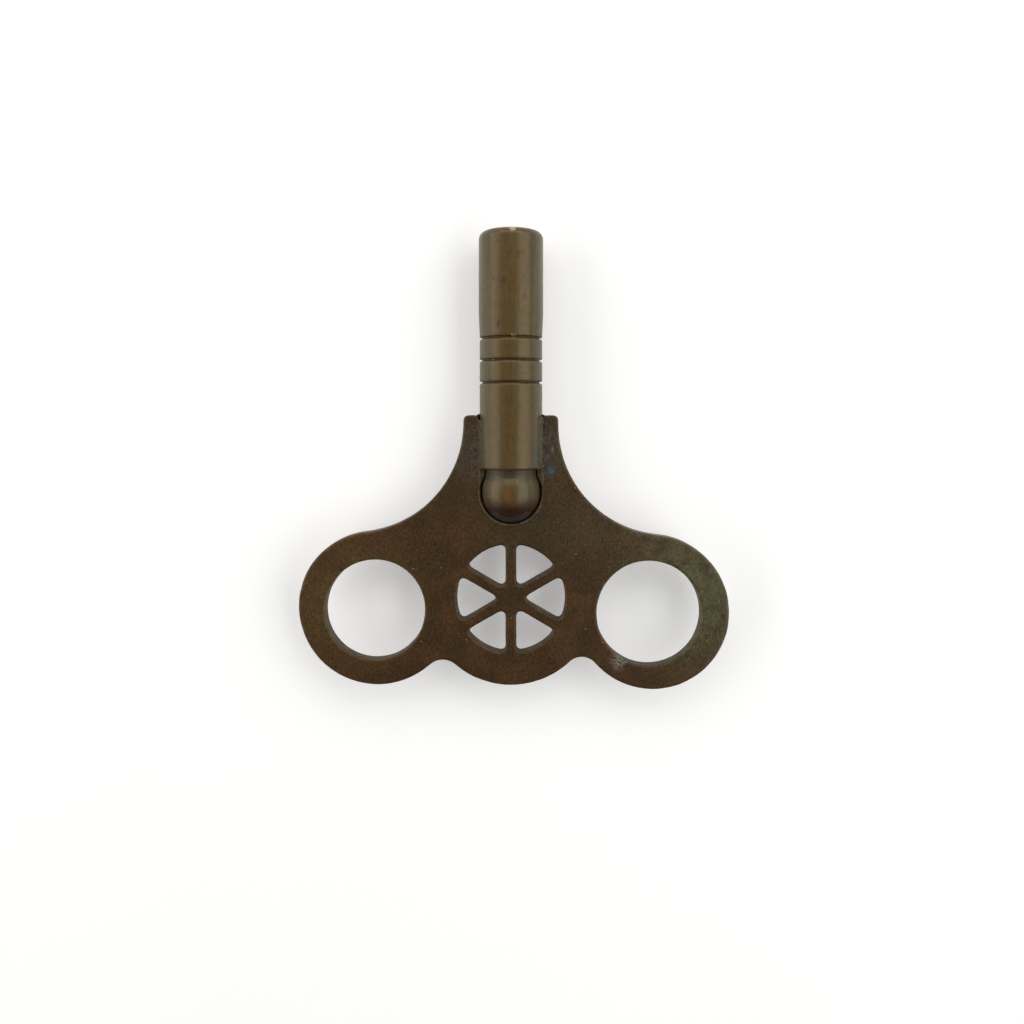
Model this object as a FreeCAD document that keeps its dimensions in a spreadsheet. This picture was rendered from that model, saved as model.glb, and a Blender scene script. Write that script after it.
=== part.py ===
"""Winding key: a turned barrel with a square socket, brazed into a flat two-lobed bow.

The key lies flat. The socket's mouth is the origin, the barrel runs from it along -Y, and +Z is
square to the bow's plate. All sizes are in millimetres, and every "drop" is a distance below the
socket's mouth.
"""
import FreeCAD, Part
import math
import os

import Sketcher

SIZES = (
    # barrel
    ("barrel_diameter", 8.0, "diameter at the mouth"),
    ("lower_diameter", 7.77, "diameter below the taper"),
    ("mouth_rounding", 1.0, "rounding of the mouth's rim"),
    ("taper_start", 10.3, "drop to the top of the taper"),
    ("taper_end", 12.65, "drop to the foot of the taper"),
    ("barrel_length", 29.3, "drop to the shoulder above the neck"),
    ("shoulder_rounding", 0.3, "rounding of that shoulder"),
    ("neck_diameter", 6.3, "diameter of the neck above the ball"),
    ("ball_diameter", 7.2, "diameter of the ball"),
    ("ball_top_drop", 31.95, "drop to the centre of the ball's upper half"),
    ("ball_drop", 32.4, "drop to the centre of its lower half"),
    ("ball_flat", 0.4, "radius of the flat where the ball was parted off"),
    ("groove_drop", 13.3, "drop to the first turned groove"),
    ("groove_pitch", 2.72, "spacing of the turned grooves"),
    ("groove_count", 3, "number of turned grooves"),
    ("groove_width", 0.4, "width of a turned groove"),
    ("groove_depth", 0.35, "depth of a turned groove"),
    # socket
    ("socket_width", 4.5, "square socket, across its flats"),
    ("socket_depth", 14.0, "depth of the square"),
    ("socket_lead", 0.3, "lead-in chamfer at the mouth"),
    ("pilot_diameter", 4.4, "drilled hole that the square was broached from"),
    ("pilot_depth", 16.0, "depth of the drilled hole to its full diameter"),
    ("drill_angle", 118.0, "angle of the drill's point, degrees"),
    # bow
    ("plate_thickness", 2.0, "thickness of the bow"),
    ("edge_rounding", 0.25, "worn rounding of the bow's edges"),
    ("ear_drop", 22.7, "drop to the tops of the ears"),
    ("ear_half", 5.86, "barrel axis to the outside of an ear"),
    ("ear_outer_rounding", 0.5, "outer corner of an ear"),
    ("ear_inner_rounding", 0.3, "inner corner of an ear"),
    ("notch_width", 7.9, "notch for the barrel, and twice the radius of its seat"),
    ("seat_drop", 32.3, "drop to the centre of the notch's round seat"),
    ("flank_radius", 13.7, "hollow curve from an ear to a lobe"),
    ("left_lobe_reach", 26.12, "axis to the left lobe's outermost point"),
    ("left_lobe_drop", 46.13, "drop to that point"),
    ("left_lobe_upper", 9.05, "radius of the left lobe above it"),
    ("left_lobe_lower", 9.73, "radius of the left lobe below it"),
    ("left_valley", 2.2, "radius between the left and the middle lobe"),
    ("left_hole_diameter", 12.3, "left finger hole"),
    ("left_hole_offset", 16.73, "axis to the left finger hole's centre"),
    ("left_hole_drop", 46.65, "drop to the left finger hole's centre"),
    ("right_lobe_reach", 26.89, "axis to the right lobe's outermost point"),
    ("right_lobe_drop", 47.0, "drop to that point"),
    ("right_lobe_upper", 9.5, "radius of the right lobe above it"),
    ("right_lobe_lower", 9.45, "radius of the right lobe below it"),
    ("right_valley", 2.1, "radius between the right and the middle lobe"),
    ("right_hole_diameter", 12.9, "right finger hole"),
    ("right_hole_offset", 17.0, "axis to the right finger hole's centre"),
    ("right_hole_drop", 47.1, "drop to the right finger hole's centre"),
    ("middle_radius", 10.63, "radius of the middle lobe"),
    ("middle_drop", 45.3, "drop to the centre of the middle lobe and of its piercing"),
    ("piercing_diameter", 13.4, "round that the piercing's windows fill"),
    ("window_count", 6, "number of windows, and of spokes between them"),
    ("spoke_width", 1.35, "width of a spoke"),
    ("hub_diameter", 3.7, "hub of the spokes"),
    ("window_rounding", 0.45, "corners of a window"),
    # solder
    ("seam_top", 23.95, "drop to the top of the solder seams"),
    ("seam_length", 5.2, "length of the solder seams"),
    ("seam_crown", 2.0, "radius of the seams' crowned faces"),
    ("left_seam_climb", 0.9, "height of the left seam on the barrel, above the plate"),
    ("left_seam_reach", 0.35, "spread of the left seam over the ear"),
    ("right_seam_climb", 1.15, "height of the right seam on the barrel, above the plate"),
    ("right_seam_reach", 0.4, "spread of the right seam over the ear"),
)

START = 1
END = 2
CENTRE = 3
HORIZONTAL_AXIS = -1
VERTICAL_AXIS = -2
ORIGIN = (HORIZONTAL_AXIS, START)
UP = FreeCAD.Vector(0, 0, 1)
TOUCHING = 1e-6
FULL_TURN = 360.0
SIDES = (("left", -1), ("right", 1))


def point(x, y):
    return FreeCAD.Vector(x, y, 0)


def make_sheet(doc):
    sheet = doc.addObject("Spreadsheet::Sheet", "Sizes")
    for row, (alias, number, meaning) in enumerate(SIZES, start=1):
        sheet.set(f"A{row}", alias)
        sheet.set(f"B{row}", str(number))
        sheet.setAlias(f"B{row}", alias)
        sheet.set(f"C{row}", meaning)
    doc.recompute()
    return sheet


def size(sheet, alias):
    return float(sheet.get(alias))


def new_body(doc, label):
    body = doc.addObject("PartDesign::Body", label.title().replace("_", ""))
    body.Label = label
    body.Placement = FreeCAD.Placement()
    return body


def new_sketch(body, name, role):
    """An empty sketch on one of the body's own origin planes."""
    sketch = body.newObject("Sketcher::SketchObject", name)
    plane = next(feature for feature in body.Origin.OriginFeatures if feature.Role == role)
    sketch.AttachmentSupport = [(plane, "")]
    sketch.MapMode = "FlatFace"
    return sketch


def shift_sketch(sketch, **cells):
    """Move a sketch by cells of the sheet, along its own axes."""
    for axis, expression in cells.items():
        sketch.setExpression(f"AttachmentOffset.Base.{axis}", expression)


def line(sketch, first, second):
    return sketch.addGeometry(Part.LineSegment(first, second), False)


def arc(sketch, centre, radius, first, last):
    """An arc that runs anticlockwise from the direction of first to that of last."""
    start = math.atan2(first.y - centre.y, first.x - centre.x)
    stop = math.atan2(last.y - centre.y, last.x - centre.x)
    return sketch.addGeometry(Part.ArcOfCircle(Part.Circle(centre, UP, radius), start, stop), False)


def join(sketch, first, second, kind="Coincident"):
    """Join the two ends that touch, as a corner or as a tangent."""
    for near in (START, END):
        for far in (START, END):
            gap = sketch.getPoint(first, near) - sketch.getPoint(second, far)
            if gap.Length < TOUCHING:
                sketch.addConstraint(Sketcher.Constraint(kind, first, near, second, far))
                return
    raise ValueError(f"{sketch.Name}: edges {first} and {second} don't touch")


def datum(sketch, name, kind, expression, *where):
    """A dimension that the sheet drives."""
    number = float(sketch.evalExpression(expression))
    index = sketch.addConstraint(Sketcher.Constraint(kind, *where, number))
    sketch.renameConstraint(index, name)
    sketch.setExpression(f"Constraints.{name}", expression)


def drop_of(sketch, name, edge, end, expression):
    datum(sketch, name, "DistanceY", expression, edge, end, *ORIGIN)


def offset_of(sketch, name, edge, end, expression, side=1):
    """Distance from the sketch's vertical axis, on the side that is named."""
    ends = (edge, end, *ORIGIN) if side < 0 else (*ORIGIN, edge, end)
    datum(sketch, name, "DistanceX", expression, *ends)


def pin_centre(sketch, edge):
    sketch.addConstraint(Sketcher.Constraint("Coincident", edge, CENTRE, *ORIGIN))


def straighten(sketch, kind, *edges):
    for edge in edges:
        sketch.addConstraint(Sketcher.Constraint(kind, edge))


def edges_where(shape, wanted):
    return [f"Edge{i}" for i, edge in enumerate(shape.Edges, start=1) if wanted(edge)]


def upright(edge):
    first, last = (vertex.Point for vertex in (edge.Vertexes[0], edge.Vertexes[-1]))
    across = math.hypot(first.x - last.x, first.y - last.y)
    return abs(first.z - last.z) > TOUCHING and across < TOUCHING


def dress(body, kind, name, base, edges, expression):
    """A fillet or chamfer on chosen edges of a feature."""
    feature = body.newObject(kind, name)
    feature.Base = (base, edges)
    feature.setExpression("Size" if kind.endswith("Chamfer") else "Radius", expression)
    return feature


def finish_feature(doc, feature, sign):
    """Recompute and see that the feature added material (1) or took it away (-1)."""
    doc.recompute()
    before = feature.BaseFeature.Shape.Volume if feature.BaseFeature else 0.0
    if (feature.Shape.Volume - before) * sign <= 0.0:
        raise ValueError(f"{feature.Name} did not change its body")


def spin(doc, body, kind, name, sketch, sign):
    """A full turn of a profile about the barrel's axis."""
    feature = body.newObject(kind, name)
    feature.Profile = sketch
    feature.ReferenceAxis = (sketch, ["V_Axis"])
    feature.Angle = FULL_TURN
    finish_feature(doc, feature, sign)
    return feature


def barrel_outline(body, sheet):
    """Half of the barrel's lengthwise section, from the mouth to the end of the ball."""
    mouth = size(sheet, "barrel_diameter") / 2
    lower = size(sheet, "lower_diameter") / 2
    rim = size(sheet, "mouth_rounding")
    shoulder = size(sheet, "barrel_length")
    rounding = size(sheet, "shoulder_rounding")
    neck = size(sheet, "neck_diameter") / 2
    ball = size(sheet, "ball_diameter") / 2
    ball_top = point(0, -size(sheet, "ball_top_drop"))
    ball_foot = point(0, -size(sheet, "ball_drop"))
    flat_radius = size(sheet, "ball_flat")
    neck_end = ball_top.y + math.sqrt(ball**2 - neck**2)
    tail = ball_foot.y - math.sqrt(ball**2 - flat_radius**2)

    sketch = new_sketch(body, "BarrelOutline", "XY_Plane")
    face = line(sketch, point(0, 0), point(mouth - rim, 0))
    rim_arc = arc(sketch, point(mouth - rim, -rim), rim, point(mouth, -rim), point(mouth - rim, 0))
    upper_side = line(sketch, point(mouth, -rim), point(mouth, -size(sheet, "taper_start")))
    taper = line(sketch, sketch.getPoint(upper_side, END), point(lower, -size(sheet, "taper_end")))
    lower_side = line(sketch, sketch.getPoint(taper, END), point(lower, rounding - shoulder))
    corner = point(lower - rounding, rounding - shoulder)
    corner_arc = arc(sketch, corner, rounding, point(corner.x, -shoulder), point(lower, corner.y))
    ledge = line(sketch, point(corner.x, -shoulder), point(neck, -shoulder))
    neck_side = line(sketch, point(neck, -shoulder), point(neck, neck_end))
    upper_half = arc(sketch, ball_top, ball, point(ball, ball_top.y), point(neck, neck_end))
    belt = line(sketch, point(ball, ball_top.y), point(ball, ball_foot.y))
    lower_half = arc(sketch, ball_foot, ball, point(flat_radius, tail), point(ball, ball_foot.y))
    flat = line(sketch, point(flat_radius, tail), point(0, tail))
    axis = line(sketch, point(0, tail), point(0, 0))

    join(sketch, face, rim_arc, "Tangent")
    join(sketch, rim_arc, upper_side, "Tangent")
    join(sketch, upper_side, taper)
    join(sketch, taper, lower_side)
    join(sketch, lower_side, corner_arc, "Tangent")
    join(sketch, corner_arc, ledge, "Tangent")
    join(sketch, ledge, neck_side)
    join(sketch, neck_side, upper_half)
    join(sketch, upper_half, belt, "Tangent")
    join(sketch, belt, lower_half, "Tangent")
    join(sketch, lower_half, flat)
    join(sketch, flat, axis)
    join(sketch, axis, face)
    straighten(sketch, "Horizontal", face, ledge, flat)
    straighten(sketch, "Vertical", upper_side, lower_side, neck_side, belt, axis)
    sketch.addConstraint(Sketcher.Constraint("Coincident", face, START, *ORIGIN))
    for half in (upper_half, lower_half):
        sketch.addConstraint(Sketcher.Constraint("PointOnObject", half, CENTRE, VERTICAL_AXIS))

    offset_of(sketch, "mouth_radius", upper_side, END, "Sizes.barrel_diameter / 2")
    offset_of(sketch, "lower_radius", taper, END, "Sizes.lower_diameter / 2")
    offset_of(sketch, "neck_radius", neck_side, START, "Sizes.neck_diameter / 2")
    offset_of(sketch, "flat_radius", flat, START, "Sizes.ball_flat")
    drop_of(sketch, "taper_start", upper_side, END, "Sizes.taper_start")
    drop_of(sketch, "taper_end", taper, END, "Sizes.taper_end")
    drop_of(sketch, "shoulder", ledge, END, "Sizes.barrel_length")
    drop_of(sketch, "ball_top", upper_half, CENTRE, "Sizes.ball_top_drop")
    drop_of(sketch, "ball_foot", lower_half, CENTRE, "Sizes.ball_drop")
    datum(sketch, "rim", "Radius", "Sizes.mouth_rounding", rim_arc)
    datum(sketch, "corner", "Radius", "Sizes.shoulder_rounding", corner_arc)
    datum(sketch, "ball", "Radius", "Sizes.ball_diameter / 2", lower_half)
    return sketch


def groove_outline(body, sheet):
    """Section of one turned groove: two straight sides and a round bottom."""
    half = size(sheet, "groove_width") / 2
    drop = -size(sheet, "groove_drop")
    surface = size(sheet, "lower_diameter") / 2
    bottom = surface - size(sheet, "groove_depth") + half
    outside = surface + half

    sketch = new_sketch(body, "GrooveOutline", "XY_Plane")
    top = line(sketch, point(bottom, drop + half), point(outside, drop + half))
    lip = line(sketch, point(outside, drop + half), point(outside, drop - half))
    foot = line(sketch, point(outside, drop - half), point(bottom, drop - half))
    root = arc(sketch, point(bottom, drop), half, point(bottom, drop + half), point(bottom, drop - half))
    join(sketch, top, lip)
    join(sketch, lip, foot)
    join(sketch, foot, root, "Tangent")
    join(sketch, root, top, "Tangent")
    straighten(sketch, "Horizontal", top, foot)
    straighten(sketch, "Vertical", lip)
    datum(sketch, "root_radius", "Radius", "Sizes.groove_width / 2", root)
    drop_of(sketch, "root_drop", root, CENTRE, "Sizes.groove_drop")
    root_place = "(Sizes.lower_diameter + Sizes.groove_width) / 2 - Sizes.groove_depth"
    offset_of(sketch, "root_offset", root, CENTRE, root_place)
    outside_place = "(Sizes.lower_diameter + Sizes.groove_width) / 2"
    offset_of(sketch, "lip_offset", lip, START, outside_place)
    return sketch


def pilot_outline(body, sheet):
    """Half of the drilled hole's section, with the cone that the drill left."""
    radius = size(sheet, "pilot_diameter") / 2
    depth = -size(sheet, "pilot_depth")
    cone = "Sizes.pilot_depth + Sizes.pilot_diameter / 2 / tan(Sizes.drill_angle / 2 * 1deg)"

    sketch = new_sketch(body, "PilotOutline", "XY_Plane")
    tip = -float(sketch.evalExpression(cone))
    top = line(sketch, point(0, 0), point(radius, 0))
    wall = line(sketch, point(radius, 0), point(radius, depth))
    slope = line(sketch, point(radius, depth), point(0, tip))
    axis = line(sketch, point(0, tip), point(0, 0))
    for first, second in ((top, wall), (wall, slope), (slope, axis), (axis, top)):
        join(sketch, first, second)
    straighten(sketch, "Horizontal", top)
    straighten(sketch, "Vertical", wall, axis)
    sketch.addConstraint(Sketcher.Constraint("Coincident", top, START, *ORIGIN))
    offset_of(sketch, "pilot_radius", wall, END, "Sizes.pilot_diameter / 2")
    drop_of(sketch, "pilot_depth", wall, END, "Sizes.pilot_depth")
    drop_of(sketch, "tip_depth", slope, END, cone)
    return sketch


def square_outline(body, sheet):
    """The square of the socket, in the plane of the mouth."""
    half = size(sheet, "socket_width") / 2
    corners = [point(half, half), point(-half, half), point(-half, -half), point(half, -half)]

    sketch = new_sketch(body, "SquareOutline", "XZ_Plane")
    sides = [line(sketch, corners[i], corners[(i + 1) % 4]) for i in range(4)]
    for i in range(4):
        join(sketch, sides[i], sides[(i + 1) % 4])
    straighten(sketch, "Horizontal", sides[0], sides[2])
    straighten(sketch, "Vertical", sides[1], sides[3])
    sketch.addConstraint(Sketcher.Constraint("Symmetric", sides[0], START, sides[2], START, *ORIGIN))
    datum(sketch, "across_flats", "DistanceX", "Sizes.socket_width", sides[0], END, sides[0], START)
    datum(sketch, "height", "DistanceY", "Sizes.socket_width", sides[1], END, sides[1], START)
    return sketch


def make_barrel(doc, sheet):
    """One turned rod: mouth, taper, three grooves, neck and ball, with the socket broached in."""
    body = new_body(doc, "barrel")
    spin(doc, body, "PartDesign::Revolution", "Turning", barrel_outline(body, sheet), 1)
    groove = spin(doc, body, "PartDesign::Groove", "TurnedGroove", groove_outline(body, sheet), -1)

    grooves = body.newObject("PartDesign::LinearPattern", "TurnedGrooves")
    grooves.Originals = [groove]
    grooves.Direction = (groove.Profile[0], ["V_Axis"])
    grooves.Reversed = True
    grooves.setExpression("Occurrences", "Sizes.groove_count")
    grooves.setExpression("Length", "Sizes.groove_pitch * (Sizes.groove_count - 1)")
    body.Tip = grooves
    finish_feature(doc, grooves, -1)

    spin(doc, body, "PartDesign::Groove", "PilotHole", pilot_outline(body, sheet), -1)
    socket = body.newObject("PartDesign::Pocket", "SquareSocket")
    socket.Profile = square_outline(body, sheet)
    socket.Type = "Length"
    socket.Reversed = True
    socket.setExpression("Length", "Sizes.socket_depth")
    finish_feature(doc, socket, -1)

    def rims_square(edge):
        straight = isinstance(edge.Curve, Part.Line)
        return straight and all(abs(vertex.Point.y) < TOUCHING for vertex in edge.Vertexes)

    rim = edges_where(socket.Shape, rims_square)
    lead = dress(body, "PartDesign::Chamfer", "SocketLead", socket, rim, "Sizes.socket_lead")
    finish_feature(doc, lead, -1)
    return body


def touch(first, radius, second):
    """The point of a circle that faces another centre."""
    towards = second - first
    return first + towards * (radius / towards.Length)


def bow_side(sketch, sheet, name, side, middle):
    """Outline of one half: notch side, ear, flank, lobe and valley. Returns its first and last edge."""
    ear = size(sheet, "ear_half") * side
    ear_top = -size(sheet, "ear_drop")
    notch = size(sheet, "notch_width") / 2 * side
    seat = -size(sheet, "seat_drop")
    flank_radius = size(sheet, "flank_radius")
    upper_radius = size(sheet, f"{name}_lobe_upper")
    lower_radius = size(sheet, f"{name}_lobe_lower")
    valley_radius = size(sheet, f"{name}_valley")
    middle_radius = size(sheet, "middle_radius")

    tip = point(size(sheet, f"{name}_lobe_reach") * side, -size(sheet, f"{name}_lobe_drop"))
    upper = tip - point(upper_radius * side, 0)
    lower = tip - point(lower_radius * side, 0)
    run = ear + flank_radius * side - upper.x
    flank = point(ear + flank_radius * side, 0)
    flank.y = upper.y + math.sqrt((flank_radius + upper_radius) ** 2 - run**2)
    ear_foot = point(ear, flank.y)
    lobe_start = touch(upper, upper_radius, flank)

    # The valley's centre is the lower crossing of two circles, one about each lobe's centre.
    from_lobe = lower_radius + valley_radius
    from_middle = middle_radius + valley_radius
    apart = middle - lower
    along = (apart.Length**2 + from_lobe**2 - from_middle**2) / (2 * apart.Length)
    away = math.sqrt(from_lobe**2 - along**2)
    unit = apart * (1 / apart.Length)
    valley = lower + unit * along + point(unit.y, -unit.x) * away * (-side)
    lobe_end = touch(lower, lower_radius, valley)
    valley_end = touch(middle, middle_radius, valley)

    def turn(centre, radius, first, last):
        ends = (first, last) if side < 0 else (last, first)
        return arc(sketch, centre, radius, *ends)

    inner = line(sketch, point(notch, seat), point(notch, ear_top))
    top = line(sketch, point(notch, ear_top), point(ear, ear_top))
    outer = line(sketch, point(ear, ear_top), ear_foot)
    flank_arc = turn(flank, flank_radius, lobe_start, ear_foot)
    upper_arc = turn(upper, upper_radius, lobe_start, tip)
    lower_arc = turn(lower, lower_radius, tip, lobe_end)
    valley_arc = turn(valley, valley_radius, valley_end, lobe_end)

    join(sketch, inner, top)
    join(sketch, top, outer)
    join(sketch, outer, flank_arc, "Tangent")
    join(sketch, flank_arc, upper_arc, "Tangent")
    join(sketch, upper_arc, lower_arc, "Tangent")
    join(sketch, lower_arc, valley_arc, "Tangent")
    straighten(sketch, "Vertical", inner, outer)
    straighten(sketch, "Horizontal", top)
    tip_end = START if side > 0 else END
    level = Sketcher.Constraint("Horizontal", upper_arc, CENTRE, upper_arc, tip_end)
    sketch.addConstraint(level)

    offset_of(sketch, f"{name}_notch", inner, END, "Sizes.notch_width / 2", side)
    offset_of(sketch, f"{name}_ear", outer, START, "Sizes.ear_half", side)
    drop_of(sketch, f"{name}_ear_top", top, START, "Sizes.ear_drop")
    datum(sketch, f"{name}_flank", "Radius", "Sizes.flank_radius", flank_arc)
    datum(sketch, f"{name}_upper", "Radius", f"Sizes.{name}_lobe_upper", upper_arc)
    datum(sketch, f"{name}_lower", "Radius", f"Sizes.{name}_lobe_lower", lower_arc)
    datum(sketch, f"{name}_valley", "Radius", f"Sizes.{name}_valley", valley_arc)
    offset_of(sketch, f"{name}_reach", upper_arc, tip_end, f"Sizes.{name}_lobe_reach", side)
    drop_of(sketch, f"{name}_tip", upper_arc, tip_end, f"Sizes.{name}_lobe_drop")
    return inner, valley_arc, valley_end


def bow_outline(body, sheet):
    """The plate's outline: two lobes and a middle one, two ears, and the notch between them."""
    sketch = new_sketch(body, "BowOutline", "XY_Plane")
    middle = point(0, -size(sheet, "middle_drop"))
    sides = [bow_side(sketch, sheet, name, side, middle) for name, side in SIDES]
    (left_inner, left_valley, left_end), (right_inner, right_valley, right_end) = sides

    seat = point(0, -size(sheet, "seat_drop"))
    radius = size(sheet, "notch_width") / 2
    seat_arc = arc(sketch, seat, radius, seat - point(radius, 0), seat + point(radius, 0))
    middle_arc = arc(sketch, middle, size(sheet, "middle_radius"), left_end, right_end)
    join(sketch, left_inner, seat_arc, "Tangent")
    join(sketch, seat_arc, right_inner, "Tangent")
    join(sketch, left_valley, middle_arc, "Tangent")
    join(sketch, middle_arc, right_valley, "Tangent")
    drop_of(sketch, "seat_drop", seat_arc, CENTRE, "Sizes.seat_drop")
    drop_of(sketch, "middle_drop", middle_arc, CENTRE, "Sizes.middle_drop")
    sketch.addConstraint(Sketcher.Constraint("PointOnObject", middle_arc, CENTRE, VERTICAL_AXIS))
    datum(sketch, "middle_radius", "Radius", "Sizes.middle_radius", middle_arc)
    return sketch


def finger_holes(body, sheet):
    sketch = new_sketch(body, "FingerHoles", "XY_Plane")
    for name, side in SIDES:
        x = size(sheet, f"{name}_hole_offset") * side
        y = -size(sheet, f"{name}_hole_drop")
        radius = size(sheet, f"{name}_hole_diameter") / 2
        hole = sketch.addGeometry(Part.Circle(point(x, y), UP, radius), False)
        offset_of(sketch, f"{name}_offset", hole, CENTRE, f"Sizes.{name}_hole_offset", side)
        drop_of(sketch, f"{name}_drop", hole, CENTRE, f"Sizes.{name}_hole_drop")
        datum(sketch, f"{name}_radius", "Radius", f"Sizes.{name}_hole_diameter / 2", hole)
    return sketch


def window_outline(body, sheet):
    """One window between two spokes, symmetric about the sketch's horizontal axis."""
    outer = size(sheet, "piercing_diameter") / 2
    hub = size(sheet, "hub_diameter") / 2
    half_spoke = size(sheet, "spoke_width") / 2
    half_angle = math.pi / size(sheet, "window_count")
    along = point(math.cos(half_angle), math.sin(half_angle))
    inward = point(math.sin(half_angle), -math.cos(half_angle))

    def on_side(radius, mirror):
        spot = along * math.sqrt(radius**2 - half_spoke**2) + inward * half_spoke
        return point(spot.x, spot.y * mirror)

    sketch = new_sketch(body, "WindowOutline", "XY_Plane")
    shift_sketch(sketch, y="-Sizes.middle_drop")
    upper = line(sketch, on_side(hub, 1), on_side(outer, 1))
    rim = arc(sketch, point(0, 0), outer, on_side(outer, -1), on_side(outer, 1))
    lower = line(sketch, on_side(outer, -1), on_side(hub, -1))
    hub_arc = arc(sketch, point(0, 0), hub, on_side(hub, -1), on_side(hub, 1))
    for first, second in ((upper, rim), (rim, lower), (lower, hub_arc), (hub_arc, upper)):
        join(sketch, first, second)
    pin_centre(sketch, rim)
    pin_centre(sketch, hub_arc)
    datum(sketch, "rim_radius", "Radius", "Sizes.piercing_diameter / 2", rim)
    datum(sketch, "hub_radius", "Radius", "Sizes.hub_diameter / 2", hub_arc)
    # Each side stands half a spoke's width away from the centre.
    datum(sketch, "upper_spoke", "Distance", "Sizes.spoke_width / 2", *ORIGIN, upper)
    datum(sketch, "lower_spoke", "Distance", "Sizes.spoke_width / 2", *ORIGIN, lower)
    datum(sketch, "window_angle", "Angle", "360deg / Sizes.window_count", lower, END, upper, START)
    sketch.addConstraint(Sketcher.Constraint("Symmetric", rim, START, rim, END, HORIZONTAL_AXIS))
    return sketch


def cut_through(doc, body, name, sketch):
    pocket = body.newObject("PartDesign::Pocket", name)
    pocket.Profile = sketch
    pocket.Type = "ThroughAll"
    pocket.Midplane = True
    finish_feature(doc, pocket, -1)
    return pocket


def make_bow(doc, sheet):
    """One flat plate: outline, ear corners, finger holes, pierced windows and worn edges."""
    body = new_body(doc, "bow")
    plate = body.newObject("PartDesign::Pad", "Plate")
    plate.Profile = bow_outline(body, sheet)
    plate.Midplane = True
    plate.setExpression("Length", "Sizes.plate_thickness")
    finish_feature(doc, plate, 1)

    ear_top = -size(sheet, "ear_drop")
    ear_middle = (size(sheet, "ear_half") + size(sheet, "notch_width") / 2) / 2

    def ear_corner(outer):
        def wanted(edge):
            spot = edge.Vertexes[0].Point
            at_top = upright(edge) and abs(spot.y - ear_top) < TOUCHING
            return at_top and (abs(spot.x) > ear_middle) == outer

        return wanted

    base = plate
    for name, outer in (("outer", True), ("inner", False)):
        corners = edges_where(base.Shape, ear_corner(outer))
        cell = f"Sizes.ear_{name}_rounding"
        base = dress(body, "PartDesign::Fillet", f"Ear{name.title()}Corners", base, corners, cell)
        finish_feature(doc, base, -1)

    cut_through(doc, body, "FingerHolePair", finger_holes(body, sheet))
    window = cut_through(doc, body, "Window", window_outline(body, sheet))
    windows = body.newObject("PartDesign::PolarPattern", "Windows")
    windows.Originals = [window]
    windows.Axis = (window.Profile[0], ["N_Axis"])
    windows.Angle = FULL_TURN
    windows.setExpression("Occurrences", "Sizes.window_count")
    body.Tip = windows
    finish_feature(doc, windows, -1)

    middle = point(0, -size(sheet, "middle_drop"))
    piercing = size(sheet, "piercing_diameter") / 2 + TOUCHING

    def window_corner(edge):
        spot = edge.Vertexes[0].Point
        return upright(edge) and (point(spot.x, spot.y) - middle).Length < piercing

    corners = edges_where(windows.Shape, window_corner)
    cell = "Sizes.window_rounding"
    rounded = dress(body, "PartDesign::Fillet", "WindowCorners", windows, corners, cell)
    doc.recompute()

    face = size(sheet, "plate_thickness") / 2
    notch = size(sheet, "notch_width") / 2 + size(sheet, "ear_inner_rounding")
    seat_bottom = -size(sheet, "seat_drop") - notch

    def worn(edge):
        flat = all(abs(abs(vertex.Point.z) - face) < TOUCHING for vertex in edge.Vertexes)
        box = edge.BoundBox
        lines_notch = max(abs(box.XMin), abs(box.XMax)) < notch + TOUCHING and box.YMin > seat_bottom
        return flat and not lines_notch

    edges = edges_where(rounded.Shape, worn)
    wear = dress(body, "PartDesign::Fillet", "WornEdges", rounded, edges, "Sizes.edge_rounding")
    finish_feature(doc, wear, -1)
    return body


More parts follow.
